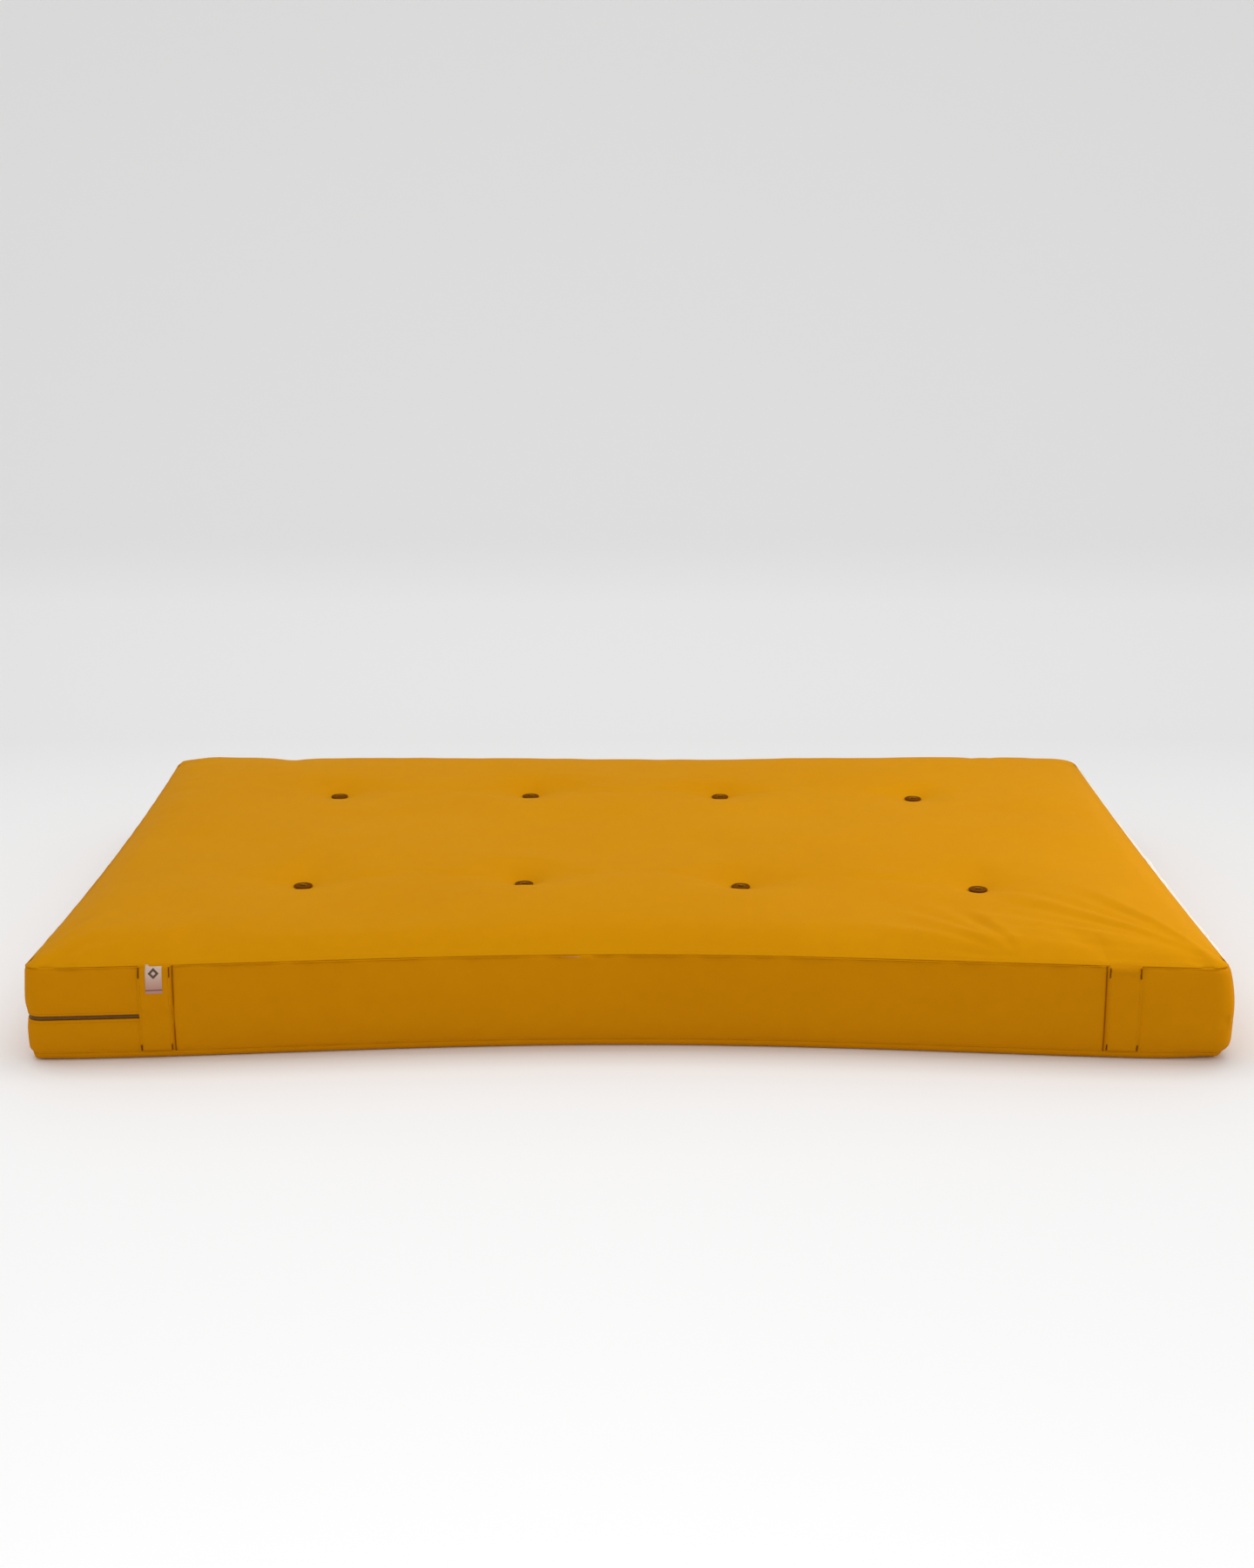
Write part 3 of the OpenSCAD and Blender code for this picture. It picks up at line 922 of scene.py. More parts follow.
        start = radius - np.sqrt(np.maximum(radius**2 - (radius - pad.low_seam) ** 2, 0))
        under = np.where(inset < radius, start + (radius - start) * inset / radius, inset)
        under_z = radius - np.sqrt(np.maximum(radius**2 - np.maximum(radius - under, 0) ** 2, 0))
        for tuft in self.tufts:
            r = np.hypot(x - tuft.x, y - tuft.y)
            near = np.clip(1 - (r - self.washer_radius - 2 * MM) / (40 * MM), 0, 1)
            under_z = np.maximum(under_z, self.under_floor * near**2)
        z = np.where(top, self.top_height(x, y, u, v), np.where(bottom, under_z, side_z))

        rounded = np.where(side_z < radius, radius - np.sqrt(
            np.maximum(radius**2 - (radius - side_z) ** 2, 0)), 0.0)
        run = np.where(np.abs(t) > 1 - 1e-6, x, y)
        shift = -np.where(bottom, under - inset, rounded)
        edge = np.minimum(side_z - pad.low_seam, pad.high_seam - side_z)
        swell = self.side_swell(side_z, run, s, t)
        share = np.clip((side_z - pad.low_seam) / (pad.high_seam - pad.low_seam), 0, 1)
        fuller = self.end_bulge * np.maximum(np.sign(s) * np.abs(out_x), 0) * (1 - share**4)
        shift += np.where(top, 0.0, fuller * np.maximum(1 - inset / pad.corner_radius, 0))
        pucker = 0.9 * MM * ripples(run, side_z * 0.15, 0.05, 21) * np.exp(-edge / (14 * MM))
        wall = ~bottom & (inset < 1e-6)
        shift += np.where(wall & ~top, swell + pucker * eased(edge / (4 * MM)), 0.0)
        sewn = 0.0 if drawn_in > 0 else 1.0
        shift -= np.where(wall, self.seam_groove(edge) * np.where(share < 0.5, 0.6, 1.0), 0.0) * sewn
        for seam in (self.left_seam, self.right_seam):
            beside = np.abs(x - seam)
            groove = 2.6 * MM * hump(beside, 2.2 * MM) - 0.9 * MM * hump(beside - 5 * MM, 3 * MM)
            shift -= np.where(wall & (np.abs(t) > 1 - 1e-6), groove, 0.0) * sewn
        near_top = top & (inset > 1e-6) & (inset < 30 * MM)
        shift += np.where(near_top, 1.2 * MM * hump(inset - 7 * MM, 5 * MM), 0.0)
        z -= np.where(top, self.seam_groove(inset), 0.0) * 0.8 * sewn
        shift -= np.where(bottom, self.seam_groove(inset) * 0.6, 0.0) * sewn
        shift -= side_in * np.maximum(1 - inset / self.pad.corner_radius, 0.0)
        z += drawn_in * np.where(top, -1.0, np.where(bottom, 1.0, 1 - 2 * h))
        return np.stack([x + shift * out_x, y + shift * out_y, z], axis=1)

    def side_swell(self, z: Array, run: Array, s: Array, t: Array) -> Array:
        """How far a side stands out between its seams; the zip holds its own line flat."""
        share = np.clip((z - self.pad.low_seam) / (self.pad.high_seam - self.pad.low_seam), 0, 1)
        swell = self.bulge * np.sin(math.pi * share) ** 0.7
        swell += (1.6 * MM * ripples(run, z, 0.33, 31) + 0.7 * MM * ripples(run, z, 0.11, 32)) * np.sin(math.pi * share)
        zip_z = (self.slot_low + self.slot_high) / 2
        on_zip = s < self.left_seam / self.pad.half_length - 1e-6
        hold = np.where(on_zip, hump(z - zip_z, 16 * MM), 0.0)
        return swell * (1 - hold)

    # -- simulation --

    def held(self, places: Array, points: Array) -> Array:
        """Which vertices the seams, the tufts, the zip and the floor hold still."""
        s, t, h = places.T
        u, v = self.pad.insets(s, t)
        seam = (np.minimum(u, v) < 1e-6) & ((h > 1 - 1e-6) | (h < 1e-6))
        still = seam | (h < 0.02)
        for tuft in self.tufts:
            still |= np.hypot(points[:, 0] - tuft.x, points[:, 1] - tuft.y) < self.washer_radius + 6 * MM
        for join in (self.left_seam, self.right_seam):
            still |= (v < 1e-6) & (np.abs(points[:, 0] - join) < 6 * MM)
        zip_places = (s < self.left_seam) & (h > self.place_of_height(self.slot_low - 12 * MM))
        still |= zip_places & (h < self.place_of_height(self.slot_high + 12 * MM))
        return still

    def puff(self, bm: bmesh.types.BMesh) -> None:
        """Blow the cloth out between what holds it, and keep the movement in a vertex layer."""
        moved = bm.verts.layers.float_vector.new("puff")
        places = bm_positions(bm)
        points = self.points(places)
        mesh = bpy.data.meshes.new("puffed_bag")
        bm.to_mesh(mesh)
        set_positions(mesh, points)
        bag = bpy.data.objects.new("puffed_bag", mesh)
        bpy.context.scene.collection.objects.link(bag)
        pins = bag.vertex_groups.new(name="held")
        pins.add([int(k) for k in np.flatnonzero(self.held(places, points))], 1.0, "REPLACE")
        cloth = bag.modifiers.new("filling", "CLOTH")
        settings = cloth.settings
        settings.quality = 4
        settings.mass = 0.35
        settings.tension_stiffness = 12
        settings.compression_stiffness = 6
        settings.shear_stiffness = 4
        settings.bending_stiffness = Weight.HEAVY.value
        settings.vertex_group_mass = pins.name
        settings.use_pressure = True
        settings.uniform_pressure_force = self.pressure
        settings.effector_weights.gravity = 0.0
        cloth.point_cache.frame_start = 1
        cloth.point_cache.frame_end = self.puff_frames
        scene = bpy.context.scene
        for frame in range(1, self.puff_frames + 1):
            scene.frame_set(frame)
        result = bag.evaluated_get(bpy.context.evaluated_depsgraph_get()).to_mesh()
        change = positions_of(result) - points
        size = np.linalg.norm(change, axis=1, keepdims=True)
        change *= np.minimum(1.0, self.puff_cap / np.maximum(size, 1e-9))
        LOG.info("filling moved the cloth by %.1f mm on average, %.1f at most", 1000 * size.mean(), 1000 * size.max())
        bpy.data.objects.remove(bag)
        bpy.data.meshes.remove(mesh)
        scene.frame_set(1)
        for vert, shift in zip(bm.verts, change):
            vert[moved] = shift

    # -- the finished panels --

    def build(self) -> dict[Panel, bpy.types.Object]:
        """Make the bag, puff it, and part it into its panels.

        Returns:
            Each panel's object.
        """
        coarse = self.block()
        self.puff(coarse)
        self.bag = coarse.copy()
        bottom = list(Panel).index(Panel.BOTTOM)
        seen = [e for e in coarse.edges if any(f.material_index != bottom for f in e.link_faces)]
        bmesh.ops.subdivide_edges(coarse, edges=seen, cuts=1, use_grid_fill=True)
        coarse.verts.ensure_lookup_table()
        layer = coarse.verts.layers.float_vector["puff"]
        change = np.array([v[layer] for v in coarse.verts], float)
        change = self.relaxed(coarse, change)
        points = self.points(bm_positions(coarse)) + change
        points[:, 2] = np.maximum(points[:, 2], 0.0)
        move_bm(coarse, points)
        self.tree = BVHTree.FromBMesh(coarse)
        panels = {}
        for index, panel in enumerate(Panel):
            if panel is Panel.SLOT:
                continue
            bm = coarse.copy()
            spare = [f for f in bm.faces if f.material_index != index]
            bmesh.ops.delete(bm, geom=spare, context="FACES")
            for face in bm.faces:
                face.material_index = 0
            self.turn_in(bm)
            # Every panel but the top takes the copy of the cover cloth with painted shade.
            cloth = self.wardrobe.cover if panel is Panel.TOP else self.wardrobe.boxing
            piece = finished(panel.value + "_cloth", bm, [cloth])
            if panel not in (Panel.TOP, Panel.BOTTOM):
                thicken(piece, self.cloth)
            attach(piece, ROOT)
            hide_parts(panel.value)
            panels[panel] = piece
            LOG.info("%s: %d faces", piece.name, len(piece.data.polygons))
        coarse.free()
        return panels

    def inner_bag(self, depth: float, side_depth: float, coarseness: float = 1.0) -> bmesh.types.BMesh:
        """The bag drawn in on every side, without its seam grooves.

        Args:
            depth: How far inside the cover's top and bottom it lies.
            side_depth: How far inside the cover's sides it lies.
            coarseness: How many times larger its cells are than the cover's.

        Returns:
            The bag, in place.
        """
        bm = self.bag.copy() if coarseness == 1.0 else self.block(coarseness)
        points = self.points(bm_positions(bm), depth, side_depth)
        if coarseness == 1.0:
            layer = bm.verts.layers.float_vector["puff"]
            points += self.relaxed(bm, np.array([v[layer] for v in bm.verts], float))
        move_bm(bm, points)
        for face in bm.faces:
            face.material_index = 0
        bm.normal_update()
        return bm

    def turn_in(self, bm: bmesh.types.BMesh) -> None:
        """Fold the edges of a panel inwards, as its seam allowance."""
        bm.normal_update()
        rim = [e for e in bm.edges if e.is_boundary]
        inwards = {v.co.to_tuple(7): v.normal.copy() for e in rim for v in e.verts}
        folded = bmesh.ops.extrude_edge_only(bm, edges=rim)["geom"]
        for vert in (g for g in folded if isinstance(g, bmesh.types.BMVert)):
            vert.co = vert.co - inwards[vert.co.to_tuple(7)] * self.hem_depth

    def relaxed(self, bm: bmesh.types.BMesh, change: Array) -> Array:
        """Smooth the movement over neighbouring vertices."""
        ends = np.array([[e.verts[0].index, e.verts[1].index] for e in bm.edges])
        count = np.bincount(ends.ravel(), minlength=len(change))[:, None]
        for _ in range(2):
            total = np.zeros_like(change)
            np.add.at(total, ends[:, 0], change[ends[:, 1]])
            np.add.at(total, ends[:, 1], change[ends[:, 0]])
            change = 0.5 * change + 0.5 * total / count
        return change

    def on_side(self, x: float, z: float, face: int) -> tuple[Vector, Vector]:
        """The point and outward direction of the front (-1) or back (1) side at x and z."""
        start = Vector((x, face * (self.pad.half_width + 0.1), z))
        hit, normal, _, _ = self.tree.ray_cast(start, Vector((0, -face, 0)))
        if normal.dot(Vector((0, face, 0))) < 0:
            normal = -normal
        return hit, normal


# ---- small shapes ------------------------------------------------------------


def repeated(template: bmesh.types.BMesh, places: Iterable[Matrix]) -> bmesh.types.BMesh:
    """Copy a small shape to many places, as one mesh, and free the small shape.

    Args:
        template: The shape, round its own origin.
        places: A matrix for each copy.

    Returns:
        The copies together.
    """
    corners = bm_positions(template)
    faces = [[v.index for v in f.verts] for f in template.faces]
    template.free()
    points: list[Array] = []
    polygons: list[list[int]] = []
    for k, place in enumerate(places):
        turn = np.array(place.to_3x3())
        points.append(corners @ turn.T + np.array(place.translation))
        polygons += [[i + k * len(corners) for i in face] for face in faces]
    mesh = bpy.data.meshes.new("copies")
    mesh.from_pydata(np.concatenate(points).tolist(), [], polygons)
    bm = bmesh.new()
    bm.from_mesh(mesh)
    bpy.data.meshes.remove(mesh)
    return bm


def lofted(sections: Sequence[Sequence[Vector]], uvs: Sequence[Sequence[tuple[float, float]]] | None = None,
           capped: bool = True) -> bmesh.types.BMesh:
    """Skin closed sections of equal length in order.

    Args:
        sections: The points of each section, round it.
        uvs: A UV for each point, where the piece is woven.
        capped: Whether the two ends are closed.

    Returns:
        The skin, with outward faces.
    """
    bm = bmesh.new()
    layer = bm.loops.layers.uv.new("cloth")
    rings = [[bm.verts.new(p) for p in section] for section in sections]
    count = len(rings[0])
    for i, (first, second) in enumerate(zip(rings, rings[1:])):
        for k in range(count):
            j = (k + 1) % count
            face = bm.faces.new((first[k], first[j], second[j], second[k]))
            if uvs:
                for loop, uv in zip(face.loops, (uvs[i][k], uvs[i][j], uvs[i + 1][j], uvs[i + 1][k])):
                    loop[layer].uv = uv
    if capped:
        bm.faces.new(rings[0])
        bm.faces.new(rings[-1])
    bmesh.ops.recalc_face_normals(bm, faces=bm.faces[:])
    return bm


def frame_at(place: Vector, along: Vector, out: Vector, size: tuple[float, float, float] = (1, 1, 1)) -> Matrix:
    """A matrix whose X runs along, whose Z points out, and which stands at a place.

    Args:
        place: The origin.
        along: The direction of X.
        out: Roughly the direction of Z.
        size: Scales along X, Y and Z.

    Returns:
        The matrix.
    """
    x = along.normalized()
    y = out.cross(x).normalized()
    z = x.cross(y)
    turn = Matrix((x * size[0], y * size[1], z * size[2])).transposed()
    return Matrix.Translation(place) @ turn.to_4x4()


def bead(thickness: float) -> bmesh.types.BMesh:
    """A stitch of unit length along X with tapered ends."""
    bm = bmesh.new()
    bmesh.ops.create_uvsphere(bm, u_segments=6, v_segments=5, radius=0.5)
    bmesh.ops.rotate(bm, verts=bm.verts[:], matrix=Matrix.Rotation(math.pi / 2, 3, "Y"))
    bmesh.ops.scale(bm, verts=bm.verts[:], vec=(1.0, thickness, thickness))
    return bm


def twisted_cord(bm: bmesh.types.BMesh, path: Sequence[Vector], radius: float, lay: float) -> None:
    """Add a twisted cord of two plies along a path.

    Args:
        bm: The mesh to add it to.
        path: The middle of the cord, in even steps.
        radius: The cord's radius.
        lay: The length in which the plies go round once.
    """
    rings, side, travelled = [], Vector((0.0, 1.0, 0.0)), 0.0
    for k, place in enumerate(path):
        before, after = path[max(k - 1, 0)], path[min(k + 1, len(path) - 1)]
        along = (after - before).normalized()
        side = (side - along * side.dot(along)).normalized()
        other = along.cross(side)
        travelled += (after - before).length / 2
        turn = 2 * math.pi * travelled / lay
        ring = []
        for i in range(10):
            angle = 2 * math.pi * i / 10
            reach = radius * (0.74 + 0.26 * abs(math.cos(angle - turn)))
            ring.append(bm.verts.new(place + reach * (math.cos(angle) * side + math.sin(angle) * other)))
        rings.append(ring)
    for first, second in zip(rings, rings[1:]):
        for i in range(10):
            bm.faces.new((first[i], first[(i + 1) % 10], second[(i + 1) % 10], second[i]))
    bm.faces.new(rings[0])
    bm.faces.new(rings[-1])


def dressed(piece: bpy.types.Object, body: str, slot: str, *nodes: str) -> bpy.types.Object:
    """Make a piece ride on a body and stand for CAD nodes."""
    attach(piece, body)
    if nodes:
        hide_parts(*nodes)
    LOG.info("%s: %d faces on %s", piece.name, len(piece.data.polygons), body)
    return piece


# ---- under the cover ---------------------------------------------------------


@dataclass
class Filling:
    """The calico case and the layers in it, cut from the shape that the cover takes."""

    cover: Cover
    wardrobe: Wardrobe
    case_depth: float = 5.4 * MM
    case_side_depth: float = 9.0 * MM
    fill_depth: float = 7.4 * MM
    side_depth: float = 13.0 * MM
    gap: float = 0.3 * MM
    rim: float = 2 * MM
    coarseness: float = 3.0

    def build(self) -> None:
        """Make the case, the four batts, the foam core and the crown batt."""
        case = finished("inner_case_bag", self.cover.inner_bag(self.case_depth, self.case_side_depth), [self.wardrobe.calico])
        dressed(case, ROOT, "calico", "inner_case")
        for node in ("batt_lower_outer", "batt_lower_inner", "batt_upper_inner", "batt_upper_outer", "batt_crown"):
            self.build_layer(node, self.wardrobe.batt, "cotton_batt")
        self.build_layer("foam_core", self.wardrobe.foam, "foam")

    def build_layer(self, node: str, material: bpy.types.Material, slot: str) -> None:
        """Make one layer, flat where it meets its neighbours and shaped by the cover elsewhere.

        Args:
            node: The CAD node that the layer stands for.
            material: Its material.
            slot: Not used.
        """
        low, high = (corner.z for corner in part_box(node))
        outermost = node in ("batt_crown", "batt_lower_outer")
        bm = self.cover.inner_bag(self.fill_depth, self.side_depth, 1.0 if outermost else self.coarseness)
        up = bm.verts.layers.float["up"]
        base, top = low + self.gap, high - self.gap
        for vert in bm.verts:
            if node == "batt_crown":
                rim = base + self.rim * vert[up]
                vert.co.z = max(vert.co.z, rim) if vert[up] > 1 - 1e-6 else rim
            elif node == "batt_lower_outer" and vert[up] < 1e-6:
                vert.co.z = min(vert.co.z, top - self.rim)
            elif node == "batt_lower_outer":
                vert.co.z = top - self.rim * (1 - vert[up])
            else:
                vert.co.z = base + (top - base) * vert[up]
        bmesh.ops.recalc_face_normals(bm, faces=bm.faces[:])
        piece = finished(node + "_layer", bm, [material])
        sharpen(piece, 50)
        dressed(piece, ROOT, slot, node)


# ---- straps and label --------------------------------------------------------


@dataclass
class Strap:
    """One of the carrying straps, as two sewn-down halves whose middle lifts off the side."""

    place: str
    cover: Cover
    wardrobe: Wardrobe
    folded: bool = False
    thickness: float = 1.9 * MM
    hem_width: float = 4.5 * MM
    clearance: float = 0.3 * MM
    top: float = 165.0 * MM
    bottom: float = 15.5 * MM
    fold_height: float = 11 * MM
    row: float = 2.0 * MM
    columns: int = 22

    def __post_init__(self) -> None:
        """Read where the frame puts the strap."""
        low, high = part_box(f"strap_ends_{self.place}")
        self.face = -1 if self.place.startswith("front") else 1
        self.centre = (low.x + high.x) / 2
        self.half_width = (high.x - low.x) / 2
        self.y = (low.y + high.y) / 2
        self.body = f"strap_{self.place}"
        low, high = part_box(f"strap_span_{self.place}")
        self.middle = (low.z + high.z) / 2

    def depth_across(self, across: float) -> float:
        """Thickness of the strap at a place across it: hemmed edges, a stitch line and a flat middle."""
        inset = self.half_width - abs(across)
        edge = math.sqrt(max(0.0, 1 - (1 - min(inset / (1.0 * MM), 1)) ** 2))
        stitch = 0.55 * math.exp(-(((inset - self.hem_width) / (0.7 * MM)) ** 2))
        hem = 0.25 * float(eased(np.array((self.hem_width - inset) / (1.5 * MM) + 1.0)))
        return self.thickness * edge * (0.85 + hem - stitch)

    def fold(self, z: float) -> float:
        """How much thicker the strap is at a height, where its end is folded under."""
        if not self.folded:
            return 1.0
        return 1.0 + 0.8 * float(eased(np.array((z - (self.top - self.fold_height)) / (1.2 * MM))))

    def section(self, z: float, ending: float) -> tuple[list[Vector], list[tuple[float, float]]]:
        """One section of the strap, with its UVs.

        Args:
            z: Its height.
            ending: From 0 at a sewn end to 1 away from it.

        Returns:
            The points round the section, and their UVs in metres.
        """
        points, uvs = [], []
        step = 2 * self.half_width / self.columns
        wave = 0.35 * MM * math.sin(z * 190 + self.centre * 7)
        outer = [-self.half_width + step * k for k in range(self.columns + 1)]
        for across in outer:
            spot, normal = self.cover.on_side(self.centre + across + wave, z, self.face)
            rise = self.depth_across(across) * self.fold(z) * (0.35 + 0.65 * ending)
            points.append(spot + normal * (self.clearance + rise))
            uvs.append((across, z + 1.0))
        for across in reversed(outer[1:-1]):
            spot, normal = self.cover.on_side(self.centre + across + wave, z, self.face)
            points.append(spot + normal * self.clearance)
            uvs.append((across, z + 1.0))
        return points, uvs

    def build(self) -> None:
        """Make both halves, their edge stitching and the bar tacks."""
        self.build_half("upper", self.top, self.top - 5 * MM, self.middle + 8 * MM)
        self.build_half("lower", self.bottom, self.bottom + 5 * MM, self.middle - 8 * MM)
        self.build_tacks()

    def bend(self, piece: bpy.types.Object, start: float, end: float) -> None:
        """Let a piece pass from the mattress to the strap's body between two heights."""
        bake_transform(piece, ROOT, self.body, (self.centre, self.y, start), (self.centre, self.y, end))

    def build_half(self, name: str, edge: float, start: float, end: float) -> None:
        """Make the half of the strap between its middle and one sewn end.

        Args:
            name: The half's name.
            edge: The height of the sewn end.
            start: The height where it begins to leave the mattress.
            end: The height where it has left it.
        """
        rows = max(2, round(abs(edge - self.middle) / self.row))
        sections, uvs = [], []
        for k in range(rows + 1):
            z = self.middle + (edge - self.middle) * k / rows
            ending = math.sqrt(1 - (1 - min(abs(edge - z) / (1.5 * MM), 1.0)) ** 2)
            points, places = self.section(z, ending)
            sections.append(points)
            uvs.append(places)
        # The strap takes the copy of the cover cloth with painted shade.
        piece = finished(f"{self.body}_{name}_half", lofted(sections, uvs), [self.wardrobe.boxing])
        sharpen(piece, 60)
        self.bend(piece, start, end)
        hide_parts(f"strap_ends_{self.place}", f"strap_span_{self.place}")
        stitches = []
        for side in (-1, 1):
            for z in np.arange(min(edge, self.middle) + 3 * MM, max(edge, self.middle) - 2 * MM, 3.6 * MM):
                spot, normal = self.cover.on_side(self.centre + side * (self.half_width - self.hem_width), z, self.face)
                place = spot + normal * (self.clearance + 0.72 * self.thickness * self.fold(z))
                stitches.append(frame_at(place, Vector((0, 0, 1)), normal, (2.6 * MM, MM, MM)))
        thread = finished(f"{self.body}_{name}_stitches", repeated(bead(0.6), stitches), [self.wardrobe.thread])
        self.bend(thread, start, end)

    def build_tacks(self) -> None:
        """Sew dense zigzag bar tacks along the edges of both sewn ends."""
        places = []
        for side in (-1, 1):
            for level, length in ((self.top - 3 * MM, -17 * MM), (self.bottom + 2 * MM, 11 * MM)):
                count = round(abs(length) / (0.75 * MM))
                for k in range(count):
                    z = level + length * k / count
                    across = side * (self.half_width - 2.4 * MM)
                    spot, normal = self.cover.on_side(self.centre + across, z, self.face)
                    rise = self.clearance + 1.12 * self.thickness * self.fold(z)
                    slant = Vector((1, 0, 0.22 * (-1) ** k))
                    places.append(frame_at(spot + normal * rise, slant, normal, (3.4 * MM, MM, MM)))
        piece = finished(f"{self.body}_bar_tacks", repeated(bead(0.75), places), [self.wardrobe.felt])
        dressed(piece, ROOT, "twine")


@dataclass
class Label:
    """The small woven label on the front strap at the left."""

    strap: Strap
    wardrobe: Wardrobe
    thickness: float = 0.7 * MM
    columns: int = 12
    rows: int = 22

    def build(self) -> None:
        """Make the label."""
        low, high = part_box("label")
        middle, half = (low.x + high.x) / 2, (high.x - low.x) / 2
        strap, sections, uvs = self.strap, [], []
        for k in range(self.rows + 1):
            up = k / self.rows
            z = low.z + (high.z - low.z) * up
            ending = math.sqrt(1 - (1 - min(min(up, 1 - up) * 12, 1.0)) ** 2)
            points, places = [], []
            outer = [-1 + 2 * i / self.columns for i in range(self.columns + 1)]
            for layer, row in ((1, outer), (0, outer[-2:0:-1])):
                for across in row:
                    spot, normal = strap.cover.on_side(middle + across * half, z, strap.face)
                    edge = math.sqrt(max(0.0, 1 - abs(across) ** 14)) * ending
                    base = strap.clearance + strap.thickness + 0.1 * MM
                    points.append(spot + normal * (base + layer * self.thickness * (0.2 + 0.8 * edge)))
                    places.append((0.5 + across / 2, up))
            sections.append(points)
            uvs.append(places)
        piece = finished("label_patch", lofted(sections, uvs), [self.wardrobe.label])
        sharpen(piece, 60)
        strap.bend(piece, strap.top - 5 * MM, strap.middle + 8 * MM)
        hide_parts("label")
        LOG.info("%s: %d faces", piece.name, len(piece.data.polygons))


# ---- zip ---------------------------------------------------------------------


@dataclass
class Zip:
    """The coil zip round the left end: two tapes, interlocked coils, a slider and its pull."""

    cover: Cover
    wardrobe: Wardrobe
    pitch: float = 1.9 * MM
    tape_depth: float = 3.4 * MM
    tape_width: float = 13.2 * MM
    coil_depth: float = 2.0 * MM
    stitch_pitch: float = 3.6 * MM
    slider_y: float = 0.55

    def __post_init__(self) -> None:
        """Read the zip's height from the frame."""
        self.level = (self.cover.slot_low + self.cover.slot_high) / 2

    def run(self, depth: float, step: float) -> tuple[Array, Array, Array]:
        """The zip's line in plan, from the front seam round the left end to the back seam.

        Args:
            depth: How far inside the cover it runs.
            step: The distance between its points.

        Returns:
            Points, directions along the line and directions outwards, one row each.
        """
        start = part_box("zip_teeth_upper")[1].x / self.cover.pad.half_length
        ease = np.sin(np.linspace(0, math.pi / 2, 400))
        s = np.concatenate([start + (-1 - start) * ease, np.full(1800, -1.0), start + (-1 - start) * ease[::-1]])
        t = np.concatenate([np.full(400, -1.0), -np.cos(np.linspace(0, math.pi, 1800)), np.full(400, 1.0)])
        x, y, _, _ = self.cover.pad.outline(s, t)
        line = np.stack([x, y], axis=1)
        line = line[np.concatenate([[True], np.linalg.norm(np.diff(line, axis=0), axis=1) > 1e-6])]
        travelled = np.concatenate([[0.0], np.cumsum(np.linalg.norm(np.diff(line, axis=0), axis=1))])
        even = np.arange(0, travelled[-1], step)
        line = np.stack([np.interp(even, travelled, line[:, k]) for k in (0, 1)], axis=1)
        along = np.gradient(line, axis=0)
        along /= np.linalg.norm(along, axis=1, keepdims=True)
        out = np.stack([-along[:, 1], along[:, 0]], axis=1)
        out *= -1 if out[len(out) // 2, 0] > 0 else 1
        return line - depth * out, along, out

    def build(self) -> None:
        """Make every piece of the zip."""
        for side, name in ((1, "upper"), (-1, "lower")):
            self.build_tape(side, name)
            self.build_coil(side, name)
            self.build_stitches(side, name)
        self.build_slider()
        self.build_pull()
        stops = bpy.data.objects["zip_end_stops"]
        stops.data.materials.clear()
        stops.data.materials.append(self.wardrobe.metal)
        soften = stops.modifiers.new("worn_edges", "BEVEL")
        soften.width = 0.25 * MM
        soften.segments = 2

    def build_tape(self, side: int, name: str) -> None:
        """Make one woven tape with its corded edge."""
        outline = [(0.6, 0.45), (1.2, 0.75), (2.2, 0.75), (2.8, 0.32), (9.0, 0.28), (13.0, 0.28), (13.6, 0.1)]
        shape = [(a * MM, b * MM) for a, b in outline] + [(a * MM, -0.25 * MM) for a, b in reversed(outline)]
        line, _, out = self.run(self.tape_depth, 6 * MM)
        sections, uvs = [], []
        for k, (spot, facing) in enumerate(zip(line, out)):
            sections.append([Vector((*(spot + facing * b), self.level + side * a)) for a, b in shape])
            uvs.append([(k * 6 * MM, a) for a, _ in shape])
        piece = finished(f"zip_tape_{name}_woven", lofted(sections, uvs), [self.wardrobe.tape])
        sharpen(piece, 50)
        dressed(piece, ROOT, "zip_tape", f"zip_tape_{name}")

    def build_coil(self, side: int, name: str) -> None:
        """Make one row of coil teeth, set half a pitch from the other row."""
        template = bmesh.new()
        bmesh.ops.create_cube(template, size=1.0)
        bmesh.ops.scale(template, verts=template.verts[:], vec=(1.05 * MM, 3.3 * MM, 1.9 * MM))
        for vert in template.verts:
            if vert.co.y < 0:
                vert.co.x *= 1.35
                vert.co.z *= 0.8
        bmesh.ops.bevel(template, geom=template.edges[:], offset=0.32 * MM, offset_type="OFFSET", segments=1,
                        profile=0.5, affect="EDGES", material=-1)
        line, along, out = self.run(self.coil_depth, self.pitch / 2)
        places = []
        for k in range(4 if side > 0 else 5, len(line) - 4, 2):
            spot = Vector((*line[k], self.level + side * 0.95 * MM))
            matrix = frame_at(spot, Vector((*along[k], 0)), Vector((*out[k], 0)))
            places.append(matrix @ Matrix.Scale(-1 if matrix.col[1].z * side < 0 else 1, 4, (0, 1, 0)))
        piece = finished(f"zip_coil_{name}", repeated(template, places), [self.wardrobe.coil])
        sharpen(piece, 70)
        dressed(piece, ROOT, "zip_coil", f"zip_teeth_{name}")

